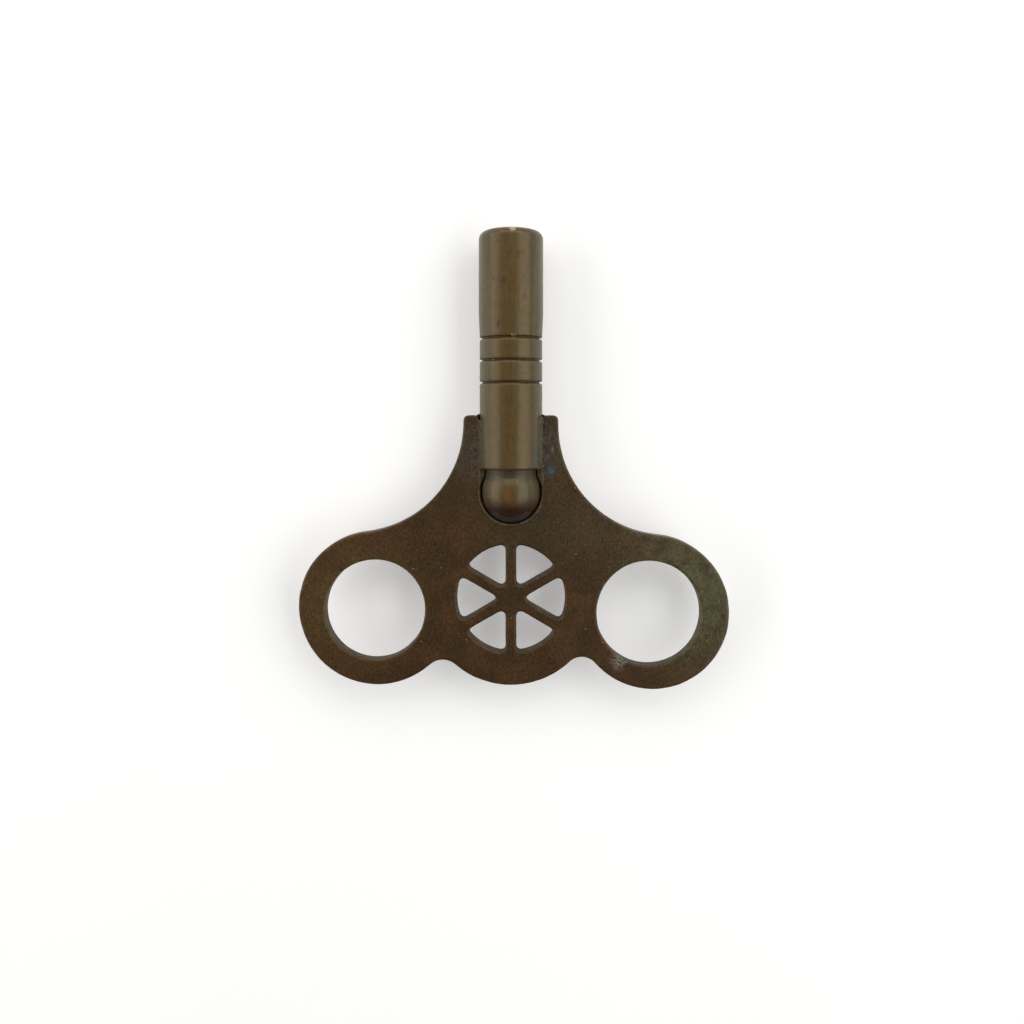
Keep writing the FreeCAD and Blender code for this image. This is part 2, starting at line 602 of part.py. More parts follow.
def seam_outline(body, sheet, name, side):
    """Section of one seam: it fills the notch beside the barrel and climbs the barrel front and back."""
    radius = size(sheet, "lower_diameter") / 2
    face = size(sheet, "plate_thickness") / 2
    notch = size(sheet, "notch_width") / 2 * side
    climb = face + size(sheet, f"{name}_seam_climb")
    reach = notch + size(sheet, f"{name}_seam_reach") * side
    barrel_x = math.sqrt(radius**2 - climb**2) * side
    crown = size(sheet, "seam_crown")

    def crowned_arc(level):
        on_barrel = point(barrel_x, climb * level)
        on_plate = point(reach, face * level)
        chord = on_barrel - on_plate
        rise = math.sqrt(crown**2 - (chord.Length / 2) ** 2) / chord.Length
        centre = (on_barrel + on_plate) * 0.5 + point(-chord.y, chord.x) * rise * (side * level)
        anticlockwise = side * level > 0
        ends = (on_plate, on_barrel) if anticlockwise else (on_barrel, on_plate)
        return arc(sketch, centre, crown, *ends)

    sketch = new_sketch(body, f"{name.title()}SeamOutline", "XZ_Plane")
    shift_sketch(sketch, z="Sizes.seam_top")
    bottom, top = point(barrel_x, -climb), point(barrel_x, climb)
    ends = (bottom, top) if side > 0 else (top, bottom)
    barrel_arc = arc(sketch, point(0, 0), radius, *ends)
    front_face = crowned_arc(1)
    front_step = line(sketch, point(reach, face), point(notch, face))
    notch_side = line(sketch, point(notch, face), point(notch, -face))
    back_step = line(sketch, point(notch, -face), point(reach, -face))
    back_face = crowned_arc(-1)

    loop = (barrel_arc, front_face, front_step, notch_side, back_step, back_face)
    for first, second in zip(loop, loop[1:] + loop[:1]):
        join(sketch, first, second)
    pin_centre(sketch, barrel_arc)
    straighten(sketch, "Horizontal", front_step, back_step)
    straighten(sketch, "Vertical", notch_side)
    datum(sketch, "barrel_radius", "Radius", "Sizes.lower_diameter / 2", barrel_arc)
    datum(sketch, "front_crown", "Radius", "Sizes.seam_crown", front_face)
    datum(sketch, "back_crown", "Radius", "Sizes.seam_crown", back_face)
    offset_of(sketch, "notch", notch_side, START, "Sizes.notch_width / 2", side)
    reach_place = f"Sizes.notch_width / 2 + Sizes.{name}_seam_reach"
    offset_of(sketch, "front_reach", front_step, START, reach_place, side)
    offset_of(sketch, "back_reach", back_step, END, reach_place, side)
    half = "Sizes.plate_thickness / 2"
    datum(sketch, "front_level", "DistanceY", half, *ORIGIN, notch_side, START)
    datum(sketch, "back_level", "DistanceY", half, notch_side, END, *ORIGIN)
    climb_place = f"Sizes.plate_thickness / 2 + Sizes.{name}_seam_climb"
    front_end, back_end = (END, START) if side > 0 else (START, END)
    datum(sketch, "front_climb", "DistanceY", climb_place, *ORIGIN, barrel_arc, front_end)
    datum(sketch, "back_climb", "DistanceY", climb_place, barrel_arc, back_end, *ORIGIN)
    return sketch


def make_seam(doc, sheet, name, side):
    """A seam of hard solder along one side of the barrel."""
    body = new_body(doc, f"solder_{name}")
    seam = body.newObject("PartDesign::Pad", f"{name.title()}Seam")
    seam.Profile = seam_outline(body, sheet, name, side)
    seam.setExpression("Length", "Sizes.seam_length")
    finish_feature(doc, seam, 1)
    return body


def check(doc, bodies):
    """Stop before anything is written if an object or a solid is faulty."""
    for item in doc.Objects:
        if {"Invalid", "Error"} & set(item.State):
            raise ValueError(f"{item.Name} is {item.State}")
    for body in bodies:
        shape = body.Shape
        if shape.isNull() or not shape.isValid() or len(shape.Solids) != 1:
            raise ValueError(f"{body.Label} is not one valid solid")


def main():
    doc = FreeCAD.newDocument("WindingKey")
    sheet = make_sheet(doc)
    bodies = [make_barrel(doc, sheet), make_bow(doc, sheet)]
    bodies += [make_seam(doc, sheet, name, side) for name, side in SIDES]
    doc.recompute()
    check(doc, bodies)
    os.makedirs("parts", exist_ok=True)
    for body in bodies:
        body.Shape.exportStep(f"parts/{body.Label}.step")


main()
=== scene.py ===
"""Looks of the winding key: a worn brass barrel and bow, two seams of old solder, floor and light.

Lengths are in millimetres, and a "drop" is a distance below the socket's mouth, as in the part itself.
Everything becomes metres where a mesh, a light or the camera is made. Wear, grime, painted shade, painted
light and the like are values on the points of each mesh, which its material reads.
"""
import math
import random
from collections import namedtuple

import bmesh
import bpy
import numpy as np
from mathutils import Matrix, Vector, geometry, kdtree, noise


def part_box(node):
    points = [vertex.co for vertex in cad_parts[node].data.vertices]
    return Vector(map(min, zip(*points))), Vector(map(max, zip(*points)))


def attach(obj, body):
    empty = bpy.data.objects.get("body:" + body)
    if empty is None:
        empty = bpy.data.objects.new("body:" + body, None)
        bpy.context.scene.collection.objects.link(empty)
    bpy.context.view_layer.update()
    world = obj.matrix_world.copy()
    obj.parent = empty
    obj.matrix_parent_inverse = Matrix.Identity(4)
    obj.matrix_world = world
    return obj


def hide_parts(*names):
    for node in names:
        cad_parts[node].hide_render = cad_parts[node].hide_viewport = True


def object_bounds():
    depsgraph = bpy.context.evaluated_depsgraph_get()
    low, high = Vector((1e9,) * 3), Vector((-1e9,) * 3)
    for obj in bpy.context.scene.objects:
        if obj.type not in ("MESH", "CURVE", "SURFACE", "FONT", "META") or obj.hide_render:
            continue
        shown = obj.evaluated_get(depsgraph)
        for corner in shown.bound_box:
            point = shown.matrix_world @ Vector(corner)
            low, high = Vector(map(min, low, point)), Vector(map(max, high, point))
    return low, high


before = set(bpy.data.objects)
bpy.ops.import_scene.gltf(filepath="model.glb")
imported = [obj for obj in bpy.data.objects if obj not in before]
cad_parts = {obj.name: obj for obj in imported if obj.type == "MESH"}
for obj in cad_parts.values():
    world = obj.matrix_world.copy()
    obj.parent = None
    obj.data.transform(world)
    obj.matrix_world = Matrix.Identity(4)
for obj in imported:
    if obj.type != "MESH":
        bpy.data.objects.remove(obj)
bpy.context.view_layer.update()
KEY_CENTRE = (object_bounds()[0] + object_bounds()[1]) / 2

MM = 0.001
SEED = 41
SHARP = math.radians(38)

# barrel
MOUTH_RADIUS = round(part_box("barrel")[1].x / MM, 2)
LOWER_RADIUS = 3.885
RIM_ROUNDING = 1.0
RIM_STEPS = 16
TAPER = (10.3, 12.65)
SHOULDER = 29.3
SHOULDER_ROUNDING = 0.3
SHOULDER_FILLET = 0.12
NECK_RADIUS = 3.15
NECK_COVE = 0.7
COVE_START_RADIUS = NECK_RADIUS + 0.12
BALL_RADIUS = 3.6
BALL_DROPS = (31.95, 32.4)
BALL_FLAT = 0.4
GROOVES = (13.3, 16.02, 18.74)
GROOVE_HALF = 0.135
GROOVE_SHIFT = 0.06
GROOVE_DEPTH = 0.35
FOOT_LIP = 0.22
HEAD_LIP = 0.05
SOCKET_HALF = 2.25
SOCKET_LEAD = 0.3
SOCKET_DEPTH = 14.0
SOCKET_SQUARENESS = 26
PILOT_RADIUS = 2.2
PILOT_DEPTH = 16.0
PILOT_TIP = 17.32
SEGMENTS = 288

# bow
HALF_PLATE = round(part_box("bow")[1].z / MM, 2)
NOTCH_HALF = 3.95
SEAT_DROP = 32.3
SEAT_DRAWN_IN = 0.13
EDGE_WEAR = 0.25
NOTCH_EDGE_WEAR = 0.14
WIDEST_EDGE = 0.42
OUTLINE_STEP = 0.2
FACE_STEP = 0.27
# Turns from the plate's face down to its wall, and the wear on them.
EDGE_TURNS = np.radians([0, 22.5, 45, 67.5, 90])
FRONT_WEAR = (0.2, 0.4, 0.6, 0.5, 0.3)
SEAT_WEAR = (1.0, 1.4, 1.5, 1.5, 1.2)
BACK_WEAR = (0.4, 0.8, 1.0, 0.95, 0.55)
WALL_LEVELS = np.linspace(1, -1, 7)[1:-1]

# solder
Seam = namedtuple("Seam", "name side climb reach roughness first last crumbs")
SEAMS = (
    Seam("left", -1, climb=0.86, reach=0.14, roughness=0.6, first=23.3, last=31.9, crumbs=12),
    Seam("right", 1, climb=1.05, reach=0.05, roughness=1.0, first=22.9, last=31.9, crumbs=60),
)
SEAM_STATIONS = 120
SEAM_STEPS = 12
SEAM_WALL_STEPS = 8
SUNK = 0.03

# The camera looks straight down on the key, from above a point beside the barrel's foot.
CAMERA_FOOT = (1.736, -22.69)
CAMERA_HEIGHT = 108.0
VIEW_WIDTH = 127.0
CAMERA_SHIFT = (-0.0127, -0.0947)

# floor and light, in metres
FLOOR_HALF = 3.0
PANEL_DISTANCE = 0.36


def fbm(spot, octaves=4):
    """Fractal noise from about -1 to 1 at a point in millimetres."""
    return noise.fractal(Vector(spot), 0.9, 2.0, octaves)


def ramp(value, low, high):
    """0 up to low, 1 from high on, and straight in between."""
    return np.clip((value - low) / (high - low), 0.0, 1.0)


def falloff(distance, size, sharpness=2):
    """1 in the middle of a round mark, fading with the distance from it."""
    away = distance / size
    return math.exp(-away * away * sharpness)


def make_piece(name, node, vertices, faces, material, **attributes):
    """A mesh, given in millimetres, that stands for one CAD node and rides on its body."""
    mesh = bpy.data.meshes.new(name)
    mesh.from_pydata((np.asarray(vertices, float) * MM).tolist(), [], faces)
    for attribute, values in attributes.items():
        layer = mesh.attributes.new(attribute, "FLOAT", "POINT")
        layer.data.foreach_set("value", np.asarray(values, np.float32))
    work = bmesh.new()
    work.from_mesh(mesh)
    bmesh.ops.recalc_face_normals(work, faces=work.faces)
    work.to_mesh(mesh)
    work.free()
    mesh.shade_smooth()
    mesh.set_sharp_from_angle(angle=SHARP)
    mesh.materials.append(material)
    thing = bpy.data.objects.new(name, mesh)
    bpy.context.scene.collection.objects.link(thing)
    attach(thing, "root")
    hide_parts(node)


def loft(first, rows, columns):
    """Quads between rows of vertices that each close on themselves, numbered from first."""
    faces = []
    for i in range(rows - 1):
        low = first + i * columns
        for j in range(columns):
            k = (j + 1) % columns
            faces.append((low + j, low + k, low + columns + k, low + columns + j))
    return faces


def cap(ring, pole):
    """Triangles from a ring of vertex numbers to one pole."""
    return [(ring[i], ring[(i + 1) % len(ring)], pole) for i in range(len(ring))]


# ---- barrel


def straight(rows, drop, radius, step=0.25, grime_and_shading=0.0):
    """Carry the turned profile on to a point, in short steps."""
    last_drop, last_radius = rows[-1][:2]
    count = max(1, math.ceil(math.hypot(drop - last_drop, radius - last_radius) / step))
    for i in range(1, count + 1):
        t = i / count
        at = (last_drop + (drop - last_drop) * t, last_radius + (radius - last_radius) * t)
        rows.append((*at, 0.0, grime_and_shading))


def bend(rows, drop, radius, bend_radius, start, stop, count, wear=0.0, grime_and_shading=0.0):
    """Carry the profile round an arc. Angles are in degrees, 0 outward and 90 towards the mouth."""
    for angle in np.radians(np.linspace(start, stop, count)):
        at = (drop - bend_radius * math.sin(angle), radius + bend_radius * math.cos(angle))
        rows.append((*at, wear, grime_and_shading))


def turned_rows():
    """The turned outside from the ball's flat up to where the rim's rounding starts.

    Each row is a drop, a radius, wear, and grime with painted shade on the grooves' upper walls.
    """
    upper, lower = BALL_DROPS
    start = -math.degrees(math.acos(BALL_FLAT / BALL_RADIUS))
    stop = math.degrees(math.acos(COVE_START_RADIUS / BALL_RADIUS))
    rows = []
    bend(rows, lower, 0.0, BALL_RADIUS, start, 0, 40)
    bend(rows, upper, 0.0, BALL_RADIUS, 0, stop, 12)
    turn = math.radians(stop)
    drop = rows[-1][0] - NECK_COVE * math.sin(turn)
    radius = rows[-1][1] + NECK_COVE * math.cos(turn)
    bend(rows, drop, radius, NECK_COVE, 180 + 0.8 * stop, 180, 5)
    neck, fillet_drop = rows[-1][1], SHOULDER + SHOULDER_FILLET
    straight(rows, fillet_drop, neck, grime_and_shading=0.35)
    bend(rows, fillet_drop, neck + SHOULDER_FILLET, SHOULDER_FILLET, 150, 90, 3, grime_and_shading=1.0)
    corner = LOWER_RADIUS - SHOULDER_ROUNDING
    straight(rows, SHOULDER, corner, step=0.15, grime_and_shading=0.8)
    bend(rows, SHOULDER - SHOULDER_ROUNDING, corner, SHOULDER_ROUNDING, -80, 0, 6, wear=0.3)
    root = LOWER_RADIUS - GROOVE_DEPTH + GROOVE_HALF
    for middle in reversed(GROOVES):
        groove = middle - GROOVE_SHIFT
        lip = groove + GROOVE_HALF + FOOT_LIP
        straight(rows, lip, LOWER_RADIUS)
        bend(rows, lip, LOWER_RADIUS - FOOT_LIP, FOOT_LIP, 30, 90, 3, wear=0.45)
        for angle in (30, 60, 90, 120, 150, 180):
            turn = math.radians(angle)
            at = (groove + GROOVE_HALF * math.cos(turn), root - GROOVE_HALF * math.sin(turn))
            # Grime in the groove, darker towards its upper wall as painted shade.
            rows.append((*at, 0.0, min(0.85, 0.1 + (angle / 170) ** 2)))
        lip = groove - GROOVE_HALF - HEAD_LIP
        bend(rows, lip, LOWER_RADIUS - HEAD_LIP, HEAD_LIP, -90, 0, 3, wear=0.2, grime_and_shading=0.3)
    straight(rows, TAPER[1], LOWER_RADIUS)
    straight(rows, TAPER[0], MOUTH_RADIUS)
    straight(rows, RIM_ROUNDING, MOUTH_RADIUS)
    return rows


# Small knocks in the barrel's outside: drop, angle round the barrel in degrees, radius and depth.
KNOCKS = (
    (3.2, 70, 0.28, 0.05), (6.6, 101, 0.3, 0.06), (12.0, 110, 0.26, 0.05), (14.7, 83, 0.3, 0.04),
    (8.9, 58, 0.22, 0.04), (23.1, 96, 0.2, 0.03), (21.0, 128, 0.26, 0.04), (5.0, 210, 0.5, 0.07),
    (17.4, 250, 0.4, 0.05), (10.1, 292, 0.5, 0.06), (25.4, 262, 0.34, 0.05), (9.4, 158, 0.3, 0.05),
    (20.1, 14, 0.32, 0.05), (2.4, 330, 0.34, 0.06), (33.6, 250, 0.4, 0.05), (26.2, 74, 0.22, 0.03),
)
# Spots where the barrel is rubbed back to bare brass: drop, angle, radius and strength. The three on the
# front, on the rim and by the first two grooves, are also painted glints.
RUBS_AND_GLINTS = (
    (0.34, 86, 0.62, 2.8), (13.1, 85, 0.5, 1.9), (15.95, 127, 0.22, 2.0), (0.5, 232, 0.8, 1.5),
    (28.9, 250, 0.5, 1.4), (13.6, 262, 0.7, 1.5), (19.0, 300, 0.5, 1.4),
)
# A rub near the rim keeps outside this radius.
RIM_RUB_RADIUS = 3.45


def arc_length(degrees, middle):
    """Distance round the barrel from one bearing to another, the short way."""
    return math.radians((degrees - middle + 180) % 360 - 180) * MOUTH_RADIUS


def dent_depth(drop, degrees, spot):
    """How far the barrel's outside is worn in and knocked at a point."""
    dent = 0.009 * (0.5 + 0.5 * fbm((spot[0] * 0.7, spot[1] * 0.5, spot[2] * 0.7)))
    for knock_drop, knock_angle, size, depth in KNOCKS:
        down = drop - knock_drop
        if abs(down) < 2.2 * size:
            away = math.hypot(down, arc_length(degrees, knock_angle) * 1.15)
            dent += depth * falloff(away, size, 2.2)
    return dent


def rub_and_glint(drop, radius, degrees, spot):
    """How far the barrel is rubbed bare at a point, with painted glints among the rubs."""
    bare = 0.0
    for rub_drop, rub_angle, size, strength in RUBS_AND_GLINTS:
        down = drop - rub_drop
        if abs(down) < 2 * size:
            inward = max(0.0, RIM_RUB_RADIUS - radius) if drop < RIM_ROUNDING else 0.0
            away = math.hypot(down * 1.5, arc_length(degrees, rub_angle), 2 * inward)
            ragged = strength + 0.8 * fbm((spot[0] * 2.5, spot[1] * 2.5, spot[2] * 2.5), 3)
            bare = max(bare, ragged * falloff(away, size))
    return bare


def make_barrel(material):
    """The turned barrel on a polar grid, with the broached socket and the drilled hole inside."""
    angles = np.arange(SEGMENTS) * 2 * math.pi / SEGMENTS
    cos, sin = np.cos(angles), np.sin(angles)
    # A circle's radius divided by this gives a square, with slightly rounded corners.
    power = SOCKET_SQUARENESS
    square = (np.abs(cos) ** power + np.abs(sin) ** power) ** (1 / power)

    drops, radii, wear, grime_and_shading = [], [], [], []

    def ring(drop, radius, worn=0.0, grimy_and_shaded=0.0):
        for table, values in ((drops, drop), (radii, radius), (wear, worn), (grime_and_shading, grimy_and_shaded)):
            table.append(np.broadcast_to(values, SEGMENTS))

    turned = turned_rows()
    for row in turned:
        ring(*row)

    # The rim's rounding and the flat of the mouth, up to where the socket's lead-in cuts them.
    inner = MOUTH_RADIUS - RIM_ROUNDING
    low, high = np.zeros(SEGMENTS), np.full(SEGMENTS, math.pi / 2)
    for _ in range(40):
        middle = (low + high) / 2
        across = (inner + np.cos(middle) * RIM_ROUNDING) * square
        lead = SOCKET_LEAD - (across - SOCKET_HALF)
        below = RIM_ROUNDING * (1 - np.sin(middle)) > lead
        low, high = np.where(below, middle, low), np.where(below, high, middle)
    lead_edge = (SOCKET_HALF + SOCKET_LEAD) / square
    quarter = math.pi / 2 * RIM_ROUNDING
    length = np.where(lead_edge <= inner, quarter + inner - lead_edge, high * RIM_ROUNDING)
    for i in range(1, RIM_STEPS + 1):
        along = length * i / RIM_STEPS
        turn = np.minimum(along, quarter) / RIM_ROUNDING
        radius = inner + np.cos(turn) * RIM_ROUNDING - np.maximum(along - quarter, 0)
        ring(RIM_ROUNDING * (1 - np.sin(turn)), radius, 0.36 + 0.4 * (i / RIM_STEPS) ** 3)
    edge_drop, edge_radius = drops[-1], radii[-1]
    outside = len(drops)

    # The lead-in, the square socket and the hole that was drilled for it.
    side = SOCKET_HALF / square
    for t in (0.35, 0.7, 1.0):
        drop = edge_drop + (SOCKET_LEAD - edge_drop) * t
        ring(drop, edge_radius + (side - edge_radius) * t, 0.6, 0.4)
    for drop in np.linspace(SOCKET_LEAD, SOCKET_DEPTH, 40)[1:]:
        ring(drop, side, 0.0, 1.0)
    for drop in np.linspace(SOCKET_DEPTH, PILOT_DEPTH, 6):
        ring(drop, PILOT_RADIUS, 0.0, 1.0)
    for t in (0.25, 0.5, 0.75):
        ring(PILOT_DEPTH + (PILOT_TIP - PILOT_DEPTH) * t, PILOT_RADIUS * (1 - t), 0.0, 1.0)

    drops, radii, wear, grime_and_shading = (np.array(table, float) for table in (drops, radii, wear, grime_and_shading))
    for i in range(len(drops)):
        for j in range(SEGMENTS):
            drop, radius = drops[i, j], radii[i, j]
            if i < outside:
                spot = (radius * cos[j], drop, radius * sin[j])
                degrees = math.degrees(angles[j])
                wear[i, j] = max(wear[i, j], rub_and_glint(drop, radius, degrees, spot))
                radii[i, j] -= min(dent_depth(drop, degrees, spot), 0.2 * radius)
            else:
                radii[i, j] += 0.02 * noise.noise(Vector((angles[j] * 9, drop * 0.2, 0.0)))

    # Under the ball, painted shade darkens the underside, and the seat shows in it as a dull crescent of
    # painted reflection.
    reach = np.hypot(radii * cos, drops - BALL_DROPS[1])
    downward = np.clip((drops - BALL_DROPS[1]) / np.maximum(reach, 0.1), 0, 1)
    under = drops > BALL_DROPS[1]
    seat_reflection = np.where(under, ramp(reach, 2.68, 2.75) * ramp(downward, 0.62, 0.78), 0.0)
    shadow = np.where(under, ramp(reach, 0.6, 1.8) * ramp(downward, 0.05, 0.65), 0.0)

    grid = np.stack([radii * cos, -drops, radii * sin], axis=-1).reshape(-1, 3)
    count = len(grid)
    tail_drop = BALL_DROPS[1] + math.sqrt(BALL_RADIUS**2 - BALL_FLAT**2)
    vertices = np.vstack([grid, [(0, -tail_drop, 0), (0, -PILOT_TIP, 0)]])
    faces = loft(0, len(drops), SEGMENTS)
    faces += cap(list(range(SEGMENTS)), count)
    faces += cap(list(range(count - SEGMENTS, count)), count + 1)
    layers = {
        "wear": np.append(wear, [0, 0]),
        "grime_and_shading": np.append(grime_and_shading, [0.3, 1]),
        "seat_reflection": np.append(seat_reflection, [0, 0]),
        "shadow": np.append(shadow, [0, 0]),
    }
    make_piece("barrel_turned", "barrel", vertices, faces, material, **layers)


# ---- bow


def outline_loops(node):
    """The plate's edge loops, as the upper edges of the CAD walls give them."""
    work = bmesh.new()
    work.from_mesh(node.data)
    bmesh.ops.remove_doubles(work, verts=work.verts, dist=MM * 1e-3)
    joined = {}
    for edge in work.edges:
        first, last = (vert.co / MM for vert in edge.verts)
        level = min(first.z, last.z) > 0 and abs(first.z - last.z) < 1e-4
        if level and any(abs(face.normal.z) < 0.02 for face in edge.link_faces):
            ends = [(round(end.x, 3), round(end.y, 3)) for end in (first, last)]
            if ends[0] != ends[1]:
                joined.setdefault(ends[0], set()).add(ends[1])
                joined.setdefault(ends[1], set()).add(ends[0])
    work.free()
    loops, waiting = [], set(joined)
    while waiting:
        spot = min(waiting)
        loop = []
        while spot is not None:
            waiting.discard(spot)
            loop.append(spot)
            spot = next((other for other in sorted(joined[spot]) if other in waiting), None)
        loops.append(np.array(loop))
    return loops


def signed_area(loop):
    """Area inside a loop, positive if it runs anticlockwise."""
    x, y = loop[:, 0], loop[:, 1]
    return 0.5 * float(np.sum(x * np.roll(y, -1) - np.roll(x, -1) * y))


def even_loop(points, step):
    """The loop at even steps with its facets smoothed away."""
    closed = np.vstack([points, points[:1]])
    along = np.append(0, np.cumsum(np.linalg.norm(np.diff(closed, axis=0), axis=1)))
    marks = np.linspace(0, along[-1], round(along[-1] / step), endpoint=False)
    loop = np.column_stack([np.interp(marks, along, closed[:, i]) for i in (0, 1)])
    for _ in range(3):
        loop = loop / 2 + (np.roll(loop, 1, axis=0) + np.roll(loop, -1, axis=0)) / 4
    return loop


def core_radius(drop):
    """Radius of the barrel, its neck or its ball at a drop."""
    if drop <= SHOULDER:
        return LOWER_RADIUS
    rise = max(0.0, BALL_DROPS[0] - drop)
    return max(NECK_RADIUS, math.sqrt(max(BALL_RADIUS**2 - rise**2, 0.0)))


def seat_gap(x, y):
    """Room between a point of the notch and the barrel, the neck or the ball beside it."""
    if -y < SHOULDER:
        return abs(x) - LOWER_RADIUS + 0.04
    if -y > BALL_DROPS[1]:
        return math.hypot(x, -y - BALL_DROPS[1]) - BALL_RADIUS
    return abs(x) - core_radius(-y)


# Nicks in the plate's edges, as (x, drop, radius, depth), on the front unless the depth is negative.
NICKS = (
    (-25.9, 44.0, 0.5, 0.1), (-22.2, 40.0, 0.35, 0.08), (-13.0, 37.6, 0.4, 0.07), (26.8, 46.0, 0.5, 0.1),
    (24.2, 40.6, 0.5, 0.12), (21.9, 55.1, 0.4, 0.08), (-19.6, 55.6, 0.45, 0.09), (3.2, 55.5, 0.35, 0.07),
    (-5.8, 24.6, 0.3, 0.08), (5.85, 25.6, 0.3, 0.08), (12.4, 36.9, 0.4, -0.1), (-24.8, 50.1, 0.5, -0.1),
    (23.3, 47.6, 0.4, 0.1), (-10.6, 45.2, 0.35, 0.06), (11.6, 50.2, 0.4, 0.07), (-8.1, 52.9, 0.4, -0.09),
    (16.6, 56.2, 0.4, -0.09), (-22.9, 47.1, 0.4, 0.07),
)
# Shallow pits in the plate's front: x, drop, radius and depth. The back has them mirrored and shifted.
PITS = (
    (26.0, 47.5, 0.42, 0.06), (23.9, 50.0, 0.4, 0.06), (23.2, 45.4, 0.36, 0.05), (24.6, 51.6, 0.3, 0.05),
    (21.3, 40.6, 0.35, 0.03), (-6.1, 38.9, 0.2, 0.03), (-13.6, 52.6, 0.3, 0.04), (1.9, 53.6, 0.22, 0.03),
    (13.0, 53.1, 0.8, 0.03), (13.6, 52.5, 0.4, 0.04), (12.3, 53.7, 0.3, 0.04), (9.3, 37.4, 0.24, 0.03),
    (-20.2, 43.2, 0.24, 0.03), (-9.4, 43.6, 0.2, 0.03), (5.2, 29.6, 0.35, 0.03), (-2.6, 38.1, 0.3, 0.02),
)
# Nicks and pits have no effect this many radii away.
MARK_REACH = 2.5


def nick_cut(x, y, front):
    """How far nicks widen the plate's worn edge, on its front or its back."""
    cut = 0.0
    for nick_x, nick_drop, size, depth in NICKS:
        away = math.hypot(x - nick_x, y + nick_drop)
        if away < MARK_REACH * size and (depth > 0) == front:
            cut += abs(depth) * falloff(away, size)
    return cut


def face_relief(x, y, front):
    """How far the plate's face lies below true, at a point of its front or back."""
    side = 0.0 if front else 37.0
    relief = 0.012 * (1 + fbm((x * 0.16, y * 0.16, side), 3))
    relief += 0.004 * (1 + fbm((x * 1.3, y * 0.8, side + 5)))
    for pit_x, pit_drop, size, depth in PITS:
        middle = pit_x if front else -pit_x * 0.93 + 1.7
        away = math.hypot(x - middle, y + pit_drop)
        if away < MARK_REACH * size:
            relief += depth * falloff(away, size)
    return relief


def edge_column(x, y, out_x, out_y, limit, outer):
    """The plate's edge from front to back at a point of its outline.

    Each row of it is a point, wear, the walls' painted light and the seat gap's painted shade.
    """
    in_notch = abs(x) < NOTCH_HALF + 0.25 and y > -SEAT_DROP - NOTCH_HALF - 0.1
    in_seat = in_notch and y < -SHOULDER - 0.6
    basic = NOTCH_EDGE_WEAR if in_notch else EDGE_WEAR
    uneven = 1 + 0.3 * fbm((x * 0.35, y * 0.35, 3.0), 3)
    front_radius, back_radius = (
        min(basic * uneven + nick_cut(x, y, front), 0.6 * limit, WIDEST_EDGE) for front in (True, False)
    )
    filed = 0.012 * (1 + fbm((x * 0.5, y * 0.5, 11.0), 3))
    bulge = 0.0
    if in_notch:
        filed = -SEAT_DRAWN_IN * ramp(-y, 29.6, 31.1)
        # The seat's wall bulges towards the barrel and closes the gap below the surface; the bulge is painted
        # dark as the gap's shade.
        bulge = min(max(seat_gap(x, y) + filed + 0.04, 0.0), 0.95)
    rows = []

    def add(inset, z, worn, grimy_and_shaded=0.0, gap_shade=0.0):
        rows.append(((x - out_x * inset, y - out_y * inset, z), worn, grimy_and_shaded, gap_shade))

    for turn, worn in zip(EDGE_TURNS, SEAT_WEAR if in_seat else FRONT_WEAR):
        inset = front_radius * (1 - math.sin(turn)) + filed
        add(inset, HALF_PLATE - front_radius * (1 - math.cos(turn)), worn)
    # Painted light on the walls: those of the holes that face the mouth are painted palest, and the outer
    # walls only a little.
    pale = 0.12 if outer else 0.2 + 0.8 * ramp(out_y, -0.2, 0.8)
    top, bottom = HALF_PLATE - front_radius, back_radius - HALF_PLATE
    for level in WALL_LEVELS:
        height = (top + bottom) / 2 + level * (top - bottom) / 2
        add(filed - bulge * (1 - level**4), height, 0.0, pale, min(1.0, bulge / 0.05))
    for turn, worn in zip(EDGE_TURNS[::-1], BACK_WEAR):
        inset = back_radius * (1 - math.sin(turn)) + filed
        add(inset, back_radius * (1 - math.cos(turn)) - HALF_PLATE, worn)
    return rows


